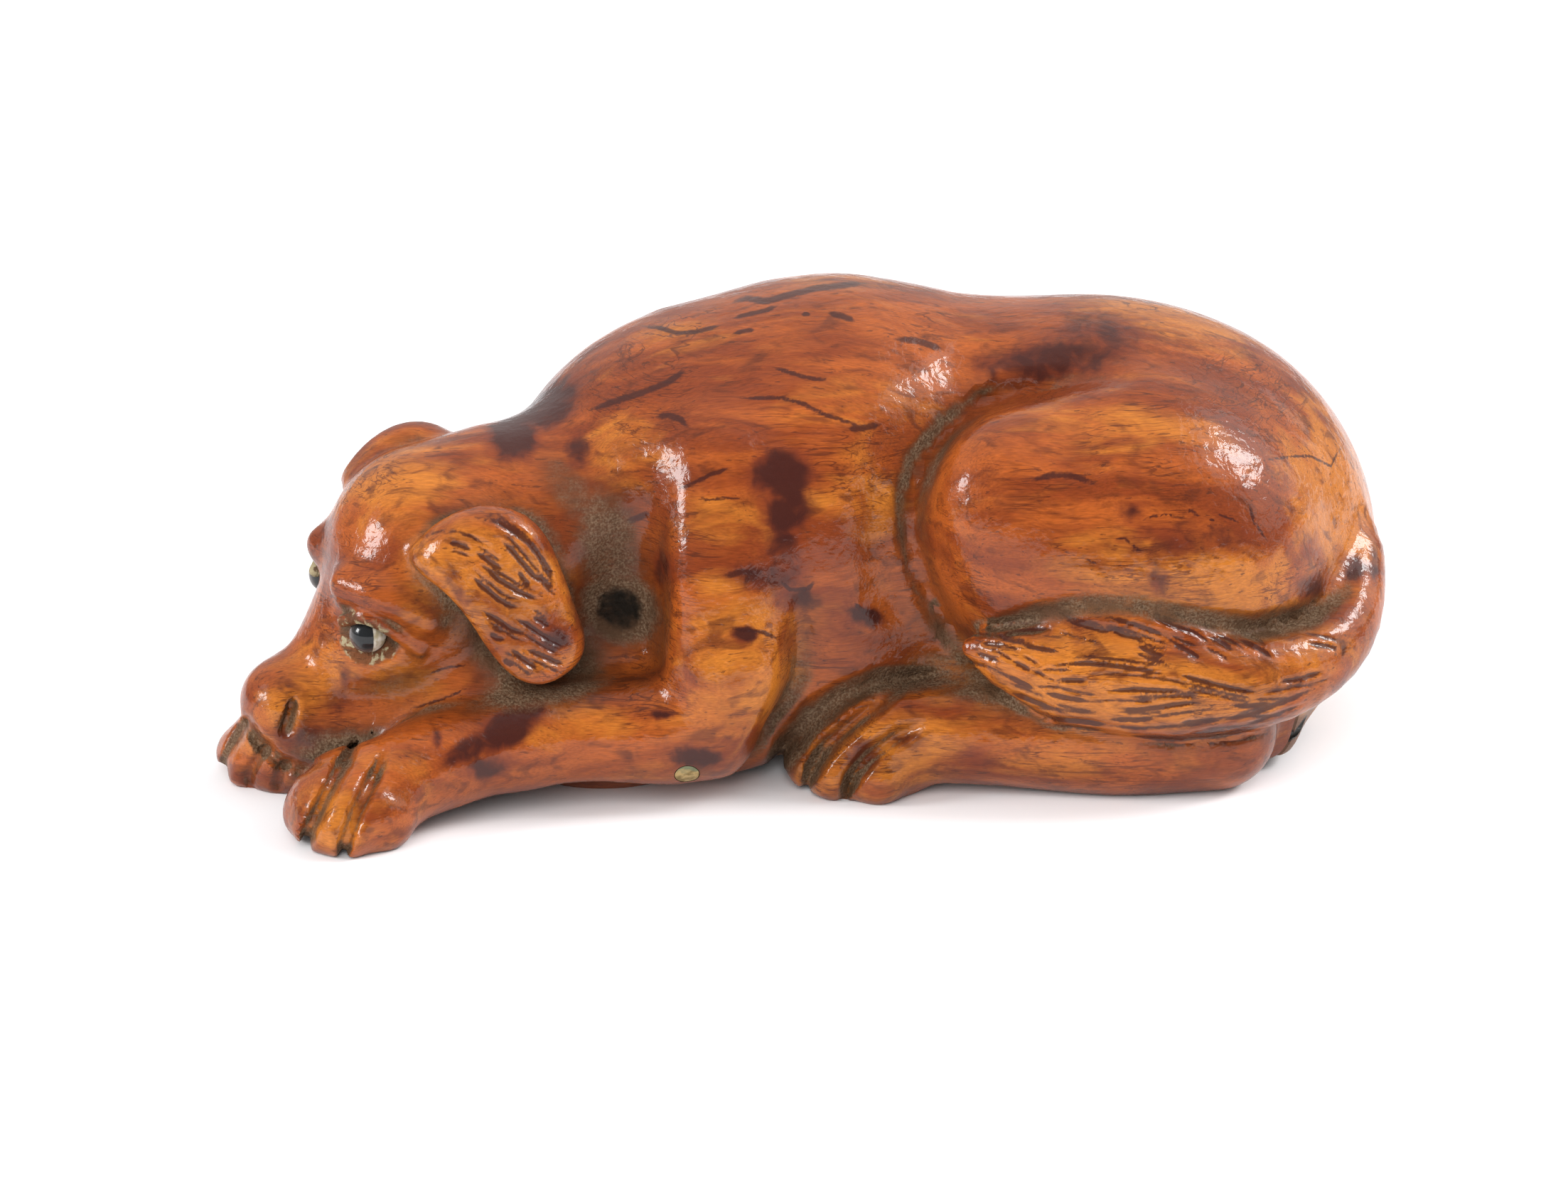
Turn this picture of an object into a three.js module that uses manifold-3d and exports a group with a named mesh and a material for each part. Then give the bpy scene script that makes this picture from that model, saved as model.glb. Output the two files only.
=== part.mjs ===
import * as THREE from 'three';
import Module from 'manifold-3d';
import { edgeTable, triTable } from 'three/addons/objects/MarchingCubes.js';
import { mergeVertices } from 'three/addons/utils/BufferGeometryUtils.js';

// A recumbent dog carved in wood, hollowed out as a box and closed from below by a hinged lid.
// Millimetres, +Z up. The head lies towards -X, the dog's left side faces -Y.

// Driving dimensions
const GRID = 0.5;
const DOG_TRIANGLES = 6800;
const CAVITY_TRIANGLES = 420;
const WALL = 4;
const GAP = 0.3;
const HINGE = { x: -8.5, z: 3.2, radius: 0.9, play: 0.1, reach: 24 };
const LID = { top: 5.2, bottom: 1.2, halfWidth: 11.2, corner: 3, knuckle: 2, rear: 44 };
const MOUTH = { front: -4.4, rear: 35.6, halfWidth: 8.8, corner: 3.5 };
const BEAD = 1.4;

// Beyond these distances a shape needs no exact answer
const FAR_OFF = 8;
const PRESS_REACH = 3;

const wasm = await Module();
wasm.setup();

const radians = THREE.MathUtils.degToRad;

// The slanting view in which the gouged lines are drawn
const VIEW = { target: [-1.26, 0, 9.94], rise: radians(20), distance: 490 };

// Distance shapes: each is a function of x, y, z that is negative inside the wood

function join(a, b, blend) {
  const overlap = Math.max(blend - Math.abs(a - b), 0);
  return Math.min(a, b) - (overlap * overlap) / (4 * blend);
}

function carve(a, b, blend) {
  return -join(-a, b, blend);
}

function blob(at, radii, turn = [0, 0, 0]) {
  const pose = new THREE.Matrix4().makeRotationFromEuler(new THREE.Euler(...turn.map(radians)));
  const e = pose.setPosition(...at).invert().elements;
  const [rx, ry, rz] = radii;
  return (x, y, z) => {
    const a = (e[0] * x + e[4] * y + e[8] * z + e[12]) / rx;
    const b = (e[1] * x + e[5] * y + e[9] * z + e[13]) / ry;
    const c = (e[2] * x + e[6] * y + e[10] * z + e[14]) / rz;
    const reach = Math.sqrt(a * a + b * b + c * c);
    const slope = Math.sqrt((a / rx) ** 2 + (b / ry) ** 2 + (c / rz) ** 2);
    return slope === 0 ? -Math.min(rx, ry, rz) : (reach * (reach - 1)) / slope;
  };
}

// A limb follows a smooth curve through [x, y, z, radius] stations
function limb(stations, steps = 14) {
  const curve = new THREE.CatmullRomCurve3(stations.map(([x, y, z]) => new THREE.Vector3(x, y, z)));
  const spine = [];
  for (let i = 0; i <= steps; i += 1) {
    const t = (i / steps) * (stations.length - 1);
    const k = Math.min(Math.floor(t), stations.length - 2);
    const radius = THREE.MathUtils.lerp(stations[k][3], stations[k + 1][3], t - k);
    const point = curve.getPoint(i / steps);
    spine.push([point.x, point.y, point.z, radius]);
  }
  const ball = new THREE.Sphere().setFromPoints(spine.map(([x, y, z]) => new THREE.Vector3(x, y, z)));
  const { x: cx, y: cy, z: cz } = ball.center;
  const reach = ball.radius + Math.max(...stations.map((station) => station[3]));
  return (x, y, z) => {
    const away = Math.sqrt((x - cx) ** 2 + (y - cy) ** 2 + (z - cz) ** 2) - reach;
    if (away > FAR_OFF) return away;
    let best = Infinity;
    for (let i = 0; i < spine.length - 1; i += 1) {
      const [ax, ay, az, startRadius] = spine[i];
      const [bx, by, bz, endRadius] = spine[i + 1];
      const dx = bx - ax;
      const dy = by - ay;
      const dz = bz - az;
      const along = ((x - ax) * dx + (y - ay) * dy + (z - az) * dz) / (dx * dx + dy * dy + dz * dz);
      const t = Math.min(1, Math.max(0, along));
      const ex = x - ax - t * dx;
      const ey = y - ay - t * dy;
      const ez = z - az - t * dz;
      const radius = startRadius + t * (endRadius - startRadius);
      best = Math.min(best, Math.sqrt(ex * ex + ey * ey + ez * ez) - radius);
    }
    return best;
  };
}

function placed(shape, frame) {
  const e = frame.clone().invert().elements;
  return (x, y, z) => shape(
    e[0] * x + e[4] * y + e[8] * z + e[12],
    e[1] * x + e[5] * y + e[9] * z + e[13],
    e[2] * x + e[6] * y + e[10] * z + e[14],
  );
}

function block(at, half, rounding) {
  return (x, y, z) => {
    const a = Math.abs(x - at[0]) - half[0] + rounding;
    const b = Math.abs(y - at[1]) - half[1] + rounding;
    const c = Math.abs(z - at[2]) - half[2] + rounding;
    const outer = Math.sqrt(Math.max(a, 0) ** 2 + Math.max(b, 0) ** 2 + Math.max(c, 0) ** 2);
    return outer + Math.min(Math.max(a, b, c), 0) - rounding;
  };
}

const mirrored = (shape) => (x, y, z) => shape(x, Math.abs(y), z);

// Chisel lines are drawn flat, then pressed into the surface, easing out at both their ends
function chisel(lines, width, depth, view) {
  return (x, y, z) => {
    const [u, v] = view(x, y, z);
    let best = 0;
    for (const line of lines) {
      const last = line.length - 1;
      for (let i = 0; i < last; i += 1) {
        const [au, av] = line[i];
        const du = line[i + 1][0] - au;
        const dv = line[i + 1][1] - av;
        const t = Math.min(1, Math.max(0, ((u - au) * du + (v - av) * dv) / (du * du + dv * dv)));
        const off = (u - au - t * du) ** 2 + (v - av - t * dv) ** 2;
        const along = (i + t) / last;
        const ease = Math.min(1, 0.2 + 4 * Math.min(along, 1 - along));
        const reach = width * (0.4 + 0.6 * ease);
        best = Math.max(best, ease * Math.max(1 - off / (reach * reach), 0) ** 2);
      }
    }
    return depth * best;
  };
}

const fromAbove = (x, y, z) => [z > 0.4 ? x : 1e3, y];
const fromNear = (x, y, z) => [y < 0 ? x : 1e3, z];

// A slanting view from the near side, in millimetres, of the points inside a box
function slanting(low, high) {
  const { target, rise, distance } = VIEW;
  return (x, y, z) => {
    const outside = x < low[0] || y < low[1] || z < low[2] || x > high[0] || y > high[1] || z > high[2];
    if (outside) return [1e3, 0];
    const across = x - target[0];
    const away = (y - target[1]) * Math.cos(rise) - (z - target[2]) * Math.sin(rise);
    const upright = (y - target[1]) * Math.sin(rise) + (z - target[2]) * Math.cos(rise);
    const scale = distance / (distance + away);
    return [across * scale, upright * scale];
  };
}

function sculpt(steps) {
  return (x, y, z) => {
    let d = Infinity;
    for (const { add, cut, press, soft } of steps) {
      if (add) d = join(d, add(x, y, z), soft);
      else if (cut) d = carve(d, cut(x, y, z), soft);
      else if (Math.abs(d) < PRESS_REACH) d += press(x, y, z);
    }
    return d;
  };
}

// Trunk and neck

const trunk = sculpt([
  { add: blob([25.2, 0, 13.9], [19.1, 18.4, 18.9]), soft: 1 },
  { add: limb([
    [-5, -1, 17.2, 16.4], [2, 0.5, 17.2, 18], [9, 1, 16.5, 17.2], [18, 0.5, 15.2, 17.2],
  ]), soft: 5 },
  { add: limb([
    [-28, -10.6, 18.2, 7.4], [-22.5, -8.6, 18, 8.6], [-18.5, -7, 17.6, 9.1],
    [-14, -4.5, 17.2, 10.2], [-9, -2, 17, 13.3],
  ], 24), soft: 5 },
  { add: block([12.5, 0, 5.4], [25.5, 12.3, 5.4], 3), soft: 2 },
  { add: blob([2.6, -12.4, 7], [7, 3.6, 6]), soft: 2 },
]);

// Cuts off the corners of an outline at a quarter of its edges
function rounded(corners) {
  return corners.flatMap(([x, z], i) => {
    const [nextX, nextZ] = corners[(i + 1) % corners.length];
    return [
      [0.75 * x + 0.25 * nextX, 0.75 * z + 0.25 * nextZ],
      [0.25 * x + 0.75 * nextX, 0.25 * z + 0.75 * nextZ],
    ];
  });
}

// A flap is a curved plate with a drawn outline, standing off a side of the head
function flap(drawn, thickness, rounding, middle) {
  const outline = rounded(rounded(drawn));
  return (x, y, z) => {
    let inside = false;
    let nearest = Infinity;
    for (let i = 0, j = outline.length - 1; i < outline.length; j = i, i += 1) {
      const [ax, az] = outline[i];
      const [bx, bz] = outline[j];
      const dx = bx - ax;
      const dz = bz - az;
      const t = Math.min(1, Math.max(0, ((x - ax) * dx + (z - az) * dz) / (dx * dx + dz * dz)));
      nearest = Math.min(nearest, (x - ax - t * dx) ** 2 + (z - az - t * dz) ** 2);
      if ((az > z) !== (bz > z) && x < ax + ((z - az) * dx) / dz) inside = !inside;
    }
    const across = (inside ? -1 : 1) * Math.sqrt(nearest) + rounding;
    const through = Math.abs(y - middle(x, z)) - thickness / 2 + rounding;
    const outer = Math.sqrt(Math.max(across, 0) ** 2 + Math.max(through, 0) ** 2);
    return outer + Math.min(Math.max(across, through), 0) - rounding;
  };
}

// Head, in its own frame: x forwards to the nose, y to the dog's left, z up, between the eyes

const headTurn = radians(17);
const headRoll = radians(5);
const forward = new THREE.Vector3(-Math.cos(headTurn), -Math.sin(headTurn), 0);
const left = new THREE.Vector3(Math.sin(headTurn), -Math.cos(headTurn), -Math.tan(headRoll)).normalize();
const up = new THREE.Vector3().crossVectors(forward, left).normalize();
const headFrame = new THREE.Matrix4().makeBasis(forward, left, up).setPosition(-34.6, -13.5, 14.2);
const EYES = [[-0.9, 5.2, -0.1], [-0.3, -5.5, 0.1]];

const earOutline = [
  [-3.6, 7], [-5.8, 9.4], [-8.6, 10.6], [-11.4, 10.2], [-13.6, 8.4], [-14.8, 5.2], [-15.8, 2], [-16.4, 0.4],
  [-16, -1.2], [-14.2, -2.1], [-12.2, -2.4], [-10.2, -1.6], [-8.6, 0.4], [-7.4, 2.6], [-5.8, 4.6],
  [-4, 5.8],
];
const nearEar = flap(earOutline, 3.2, 1.3, (x, z) => 8.8 + 0.3 * (8 - z) - 0.045 * (x + 10.5) ** 2);
const farEar = flap(
  earOutline.map(([x, z]) => [x + 1.9, z + 0.3]),
  3.2,
  1.3,
  (x, z) => -8.8 - 0.3 * (7.5 - z) + 0.045 * (x + 8.6) ** 2,
);

// Locks of hair run down the ear from its root to its rounded end
const earLocks = [0, 1, 2].map((row) => [
  [-6 - 2.4 * row, 6.6 + 0.9 * row - 0.3 * row * row],
  [-9.2 - 2 * row, 3 + 0.8 * row],
  [-11.2 - 1.7 * row, -0.8 + 0.4 * row],
]);

const upperLid = limb([[0.8, 4.6, 0.9, 0.5], [-0.6, 6.2, 1.7, 0.55], [-4.4, 7.3, -0.9, 0.45]]);
const jowl = limb([
  [1.2, 3.6, -9.4, 2], [-2.4, 5, -8.4, 2.8], [-6.4, 6, -6.6, 2.8], [-10.5, 6.6, -4.2, 2.6],
]);
const nostril = [[4.4, -5.4], [5.3, -8.3]];

const head = sculpt([
  { add: blob([-7.4, 0, 3], [8.2, 7.8, 7.8]), soft: 1 },
  { add: blob([-5.4, 0, -2.4], [7.2, 7, 5.6]), soft: 3 },
  { add: limb([[-4.4, 0, -2.8, 5.4], [0.2, 0.1, -6.1, 4.5], [3.2, 0.6, -8, 4]]), soft: 2.5 },
  { add: blob([4.7, 0.8, -6.9], [2.9, 3.2, 2.8]), soft: 1.6 },
  { add: blob([0.6, 2.7, -9], [5, 3, 3.1], [0, 22, 0]), soft: 1.5 },
  { add: blob([0.8, -1.6, -8.8], [5, 3, 3.1], [0, 22, 0]), soft: 1.5 },
  { add: mirrored(limb([[0.2, 3.8, 3.4, 1.4], [-1.8, 6.2, 3.2, 1.3], [-4.8, 7.4, 1.6, 0.9]])), soft: 1.8 },
  { add: blob([-0.6, 0, -10.4], [3.4, 2.6, 1.9]), soft: 0.8 },
  { add: mirrored(jowl), soft: 1.8 },
  { cut: mirrored(blob([-0.6, 6.6, -0.2], [2.5, 1.5, 1.7], [0, 20, 0])), soft: 1 },
  { add: mirrored(upperLid), soft: 0.5 },
  { cut: mirrored(limb([[1.6, 5.1, -9.6, 0.5], [-1.4, 6, -8.2, 0.6], [-10, 7.6, -4.6, 0.5]])), soft: 0.6 },
  { press: chisel([nostril], 0.7, 0.8, (x, y, z) => [Math.abs(y - 0.8) > 1.5 ? x : 1e3, z]) },
  { add: nearEar, soft: 0.8 },
  { press: chisel(earLocks, 0.9, 0.35, (x, y, z) => [y > 7 ? x : 1e3, z]) },
  { add: farEar, soft: 0.8 },
]);

// Legs: the near side is -Y

const nearArm = sculpt([
  { add: limb([[-6, -12, 24.4, 4], [-6.2, -14.6, 18, 5], [-5.8, -16.4, 11, 5]]), soft: 1 },
  { add: blob([-6, -16.8, 8.6], [4.5, 4.2, 6.4], [0, 22, 0]), soft: 2 },
  { add: blob([-6.6, -13, 4.6], [5, 3.4, 4]), soft: 1 },
]);
const nearForearm = sculpt([
  { add: limb([
    [-7, -16.6, 6, 4.3], [-10, -17, 5.8, 4.4], [-15.2, -17.6, 5.7, 3.8], [-21, -18.8, 5.6, 3.6],
  ]), soft: 1 },
  { add: limb([[-21, -18.8, 5.6, 3.6], [-26.6, -21, 4.8, 3.8], [-30.4, -23.6, 3.9, 3.5]]), soft: 1.5 },
]);

// A paw is a low mound with rounded toe ends
function paw(mound, toes) {
  return sculpt([
    { add: mound, soft: 1 },
    ...toes.map(([x, y, z, radius]) => ({ add: blob([x, y, z], [radius, radius, radius]), soft: 1.2 })),
  ]);
}

const nearForepaw = paw(
  blob([-32.8, -24, 2.8], [4.9, 5.6, 3.8], [0, 0, -25]),
  [[-36.4, -24.8, 1.8, 1.9], [-35.4, -27, 1.8, 1.9], [-33.4, -28, 1.8, 2], [-30.8, -26.4, 1.8, 2]],
);

const farForeleg = sculpt([
  { add: limb([[-6, 11.6, 23, 4], [-5.6, 13.4, 16, 4.8], [-5, 14, 9, 5]]), soft: 1 },
  { add: blob([-6, 11.6, 4.6], [5, 3.6, 4]), soft: 1 },
  { add: limb([
    [-5, 14, 5.8, 4.9], [-14, 9, 5.4, 4.2], [-24, -0.6, 5, 3.7],
    [-32, -8.4, 4.2, 3.6], [-37.6, -12.2, 3, 3.4],
  ]), soft: 2 },
  { add: paw(
    blob([-38.4, -12, 2.3], [5.2, 4.3, 3.3], [0, 0, 10]),
    [[-41.8, -9.4, 1.5, 1.8], [-42.6, -11.6, 1.5, 1.8], [-41.9, -13.8, 1.5, 1.8], [-39.4, -15, 1.5, 1.8]],
  ), soft: 0.8 },
]);

const nearThigh = sculpt([
  { add: blob([25, -8.4, 17], [15, 12.4, 14.2]), soft: 1 },
  { add: blob([16, -11.6, 20.6], [7.2, 8, 9], [0, -20, 0]), soft: 3 },
]);
const farThigh = sculpt([
  { add: blob([25, 8.6, 16.4], [14.6, 11.4, 14]), soft: 1 },
  { add: blob([16.6, 11.4, 19.4], [7, 7.4, 8.6], [0, -20, 0]), soft: 3 },
]);

const nearHindFoot = sculpt([
  { add: limb([
    [31.2, -14, 4.6, 4.8], [24, -14.6, 4.4, 4.8], [14, -14.2, 4.8, 4.5], [6.4, -14.4, 4.8, 4.2],
  ]), soft: 1 },
  { add: paw(
    blob([5.6, -14.3, 3.4], [5.4, 4.4, 4.6]),
    [[0.6, -12.6, 1.9, 2], [0.9, -14.8, 1.9, 2], [2.6, -16.6, 1.8, 2], [5.8, -17.4, 1.8, 2]],
  ), soft: 1 },
]);
const farHindFoot = (x, y, z) => nearHindFoot(x - 1.5, -y - 0.6, z);

const tail = limb([
  [40.6, -3, 20.4, 1.5], [41.6, -6.6, 15.6, 2.8], [40, -12.2, 11.6, 3.3], [35.2, -16.4, 10, 3.9],
  [28, -17.8, 10, 4.7], [21, -17.4, 10.8, 4.6], [16, -17.6, 11.8, 2.8], [12.8, -17.8, 12.4, 0.8],
], 28);

// Locks of hair run along the tail and meet at its tip
const tailLocks = [0, 1, 2, 3, 4].map((row) => [
  [14.6, 12.3 - 0.1 * row],
  [19, 14 - 1.5 * row],
  [26, 14.2 - 1.75 * row],
  [33, 12.8 - 1.5 * row],
  [38.5, 12.6 - 1.1 * row],
]);

// A crease in front of each thigh
const nearCrease = limb([
  [21, -10, 32.6, 1.4], [12.4, -15, 29, 2.2], [7, -18, 23.4, 2.6],
  [7.6, -18.6, 15.4, 2.8], [10, -16.6, 8, 2.6],
], 18);
const farCrease = limb([
  [20, 12.4, 30.4, 1.2], [12.6, 16, 27.4, 1.8], [7.6, 18, 22, 2.2], [8, 18.4, 14, 2.4],
]);
const elbowEdge = [[[0.2, 17], [-0.1, 13], [-0.7, 9.6], [-2.4, 6], [-4.4, 2]]];

// Gouged lines, drawn as they show in the slanting view
const thighEdge = [
  [
    [26.2, 16.8], [21.3, 16.5], [18, 15.9], [15.2, 14.9], [12.7, 13], [10.6, 10.4], [9.7, 7.7],
    [9.8, 4.4], [10.8, 1.1], [12.5, -1.6], [14.5, -4.4], [16.9, -7.7], [18.5, -11],
  ],
];
const besideThigh = thighEdge.map((line) => line.map(([u, v]) => [u - 1.2, v + 0.3]));
const nearToes = [
  [[-32.3, -9.5], [-34, -12.7], [-35.5, -15.8], [-36.6, -18], [-37, -19.8]],
  [[-30.5, -11.6], [-32, -14.6], [-33.1, -16.8], [-33.9, -19], [-34.2, -20.4]],
];
const farToes = [
  [[-41.3, -9.1], [-42.5, -11.3], [-43.1, -12.6], [-43, -14.2]],
  [[-39.5, -11], [-40.7, -12.6], [-41.4, -13.7], [-41.3, -14.9]],
  [[-38, -12.4], [-38.8, -13.3], [-39.2, -14.3], [-39.1, -15.1]],
];
const underChin = [
  [[-41.6, -9.1], [-40.7, -11], [-39.1, -12.5], [-37, -13.2], [-35.2, -12.4], [-33.7, -11.2]],
];
const hindToes = [
  [[9.5, -6.9], [7.4, -8.2], [5.3, -9.9], [3.4, -11.5], [2.3, -13.2], [1.6, -14.9]],
  [[10.8, -9.8], [8.7, -10.8], [6.7, -12.2], [5.4, -13.7], [4.5, -15.6]],
];
const hindFootTop = [
  [[-0.9, -13.3], [0.2, -11.3], [2, -9.2], [4.5, -7.6], [7.3, -6.7], [10.8, -6.5], [16.3, -6.7]],
];
const farHindToes = [
  [[6.9, 12.2], [-0.5, 13]],
  [[8.1, 14.2], [2.5, 15.3], [-0.5, 15.8]],
  [[9.5, 16.4], [5.1, 17], [2.9, 19.4]],
];

const dog = sculpt([
  { add: trunk, soft: 1 },
  { cut: nearCrease, soft: 3.5 },
  { cut: farCrease, soft: 3.5 },
  { add: nearArm, soft: 3 },
  { cut: limb([
    [-11.4, -16.4, 26.5, 0.8], [-12.4, -16.8, 20.5, 2], [-13.4, -17, 15.4, 3.4], [-14.6, -17, 11, 3.6],
  ]), soft: 2.4 },
  { add: placed(head, headFrame), soft: 1.4 },
  { add: blob([-15, -10.5, 5], [9, 7, 6.6]), soft: 2 },
  { add: nearForearm, soft: 1.2 },
  { add: nearForepaw, soft: 0.8 },
  { add: farForeleg, soft: 2.6 },
  { add: farThigh, soft: 1.6 },
  { add: nearThigh, soft: 1 },
  { press: chisel(thighEdge, 1.5, 1, slanting([4, -30, 3], [30, 0, 40])) },
  { press: chisel(besideThigh, 4.6, 0.8, slanting([0, -30, 3], [30, 0, 40])) },
  { add: farHindFoot, soft: 1.5 },
  { add: nearHindFoot, soft: 1 },
  { press: chisel(nearToes, 1, 0.9, slanting([-45, -40, 0], [-25, -18, 14])) },
  { press: chisel(farToes, 0.7, 0.7, slanting([-50, -22, 0], [-32, -5, 9])) },
  { press: chisel(underChin, 0.8, 0.9, slanting([-50, -26, 0], [-28, -8, 9])) },
  { press: chisel(hindToes, 1.1, 1, slanting([-4, -26, 0], [16, -9, 12])) },
  { press: chisel(hindFootTop, 1.5, 0.9, slanting([-4, -26, 0], [24, -8, 14])) },
  { press: chisel(farHindToes, 0.75, 0.8, fromAbove) },
  { add: tail, soft: 0.6 },
  { press: chisel(tailLocks, 0.7, 0.45, fromNear) },
  { press: chisel(elbowEdge, 1.8, 0.6, fromNear) },
]);

// Meshing: marching cubes over the distance field, then quadric edge collapse

const SQUARE = [[0, 0], [1, 0], [1, 1], [0, 1]];
const CORNERS = [0, 1].flatMap((level) => SQUARE.map(([i, j]) => [i, j, level]));
const EDGES = [
  [0, 1], [1, 2], [3, 2], [0, 3],
  [4, 5], [5, 6], [7, 6], [4, 7],
  [0, 4], [1, 5], [2, 6], [3, 7],
];

function meshField(field, low, high, step) {
  const count = low.map((value, i) => Math.ceil((high[i] - value) / step) + 1);
  const values = new Float32Array(count[0] * count[1] * count[2]);
  const index = (i, j, k) => i + count[0] * (j + count[1] * k);
  const at = (i, j, k) => field(low[0] + i * step, low[1] + j * step, low[2] + k * step);
  // Whole blocks of the grid that lie far from the surface take the value at their middle
  const side = 6;
  const far = (side * step * Math.sqrt(3)) / 2 + 2;
  const fillBlock = (i0, j0, k0) => {
    const middle = at(i0 + side / 2, j0 + side / 2, k0 + side / 2);
    for (let k = k0; k < Math.min(k0 + side, count[2]); k += 1) {
      for (let j = j0; j < Math.min(j0 + side, count[1]); j += 1) {
        for (let i = i0; i < Math.min(i0 + side, count[0]); i += 1) {
          values[index(i, j, k)] = Math.abs(middle) > far ? middle : at(i, j, k);
        }
      }
    }
  };
  for (let k = 0; k < count[2]; k += side) {
    for (let j = 0; j < count[1]; j += side) {
      for (let i = 0; i < count[0]; i += side) fillBlock(i, j, k);
    }
  }
  const points = [];
  const triangles = [];
  const known = new Map();
  for (let k = 0; k < count[2] - 1; k += 1) {
    for (let j = 0; j < count[1] - 1; j += 1) {
      for (let i = 0; i < count[0] - 1; i += 1) {
        const corner = CORNERS.map(([a, b, c]) => index(i + a, j + b, k + c));
        let code = 0;
        for (let n = 0; n < 8; n += 1) if (values[corner[n]] > 0) code |= 1 << n;
        if (edgeTable[code] === 0) continue;
        const onEdge = (n) => {
          const [a, b] = EDGES[n];
          const key = corner[a] * 4 + (b === a + 4 ? 2 : n % 2);
          if (!known.has(key)) {
            const share = values[corner[a]] / (values[corner[a]] - values[corner[b]]);
            const t = THREE.MathUtils.clamp(share, 0.02, 0.98);
            const point = [i, j, k].map((cell, axis) => {
              const from = cell + CORNERS[a][axis];
              return low[axis] + (from + t * (CORNERS[b][axis] - CORNERS[a][axis])) * step;
            });
            known.set(key, points.push(point) - 1);
          }
          return known.get(key);
        };
        for (let n = code * 16; triTable[n] !== -1; n += 3) {
          triangles.push([onEdge(triTable[n]), onEdge(triTable[n + 1]), onEdge(triTable[n + 2])]);
        }
      }
    }
  }
  return { points, triangles };
}

function faceNormal(p, q, r) {
  const [ux, uy, uz] = q.map((value, axis) => value - p[axis]);
  const [vx, vy, vz] = r.map((value, axis) => value - p[axis]);
  return [uy * vz - uz * vy, uz * vx - ux * vz, ux * vy - uy * vx];
}

// The ten coefficients of the squared distance to a triangle's plane, times its area
function planeQuadric(p, q, r) {
  const normal = faceNormal(p, q, r);
  const size = Math.hypot(...normal) || 1e-9;
  const [a, b, c] = normal.map((value) => value / size);
  const d = -(a * p[0] + b * p[1] + c * p[2]);
  const products = [a * a, a * b, a * c, a * d, b * b, b * c, b * d, c * c, c * d, d * d];
  return products.map((value) => value * size);
}

function quadricError(q, [x, y, z]) {
  return q[0] * x * x + 2 * q[1] * x * y + 2 * q[2] * x * z + 2 * q[3] * x + q[4] * y * y
    + 2 * q[5] * y * z + 2 * q[6] * y + q[7] * z * z + 2 * q[8] * z + q[9];
}

// Keeps the cheapest item on top
class Heap {
  constructor() {
    this.items = [];
  }

  push(item) {
    const { items } = this;
    let at = items.push(item) - 1;
    while (at > 0) {
      const parent = (at - 1) >> 1;
      if (items[parent].cost <= item.cost) break;
      items[at] = items[parent];
      at = parent;
    }
    items[at] = item;
  }

  pop() {
    const { items } = this;
    const top = items[0];
    const item = items.pop();
    if (items.length === 0) return top;
    let at = 0;
    for (let child = 1; child < items.length; child = 2 * at + 1) {
      if (child + 1 < items.length && items[child + 1].cost < items[child].cost) child += 1;
      if (items[child].cost >= item.cost) break;
      items[at] = items[child];
      at = child;
    }
    items[at] = item;
    return top;
  }
}

// A collapse may turn a face by no more than about 75 degrees
const LEAST_FACE_COSINE = 0.25;
// Where the surface is nearly flat, a merged point stays close to its edge's middle
const PULL_TO_MIDDLE = 0.003;

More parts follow.
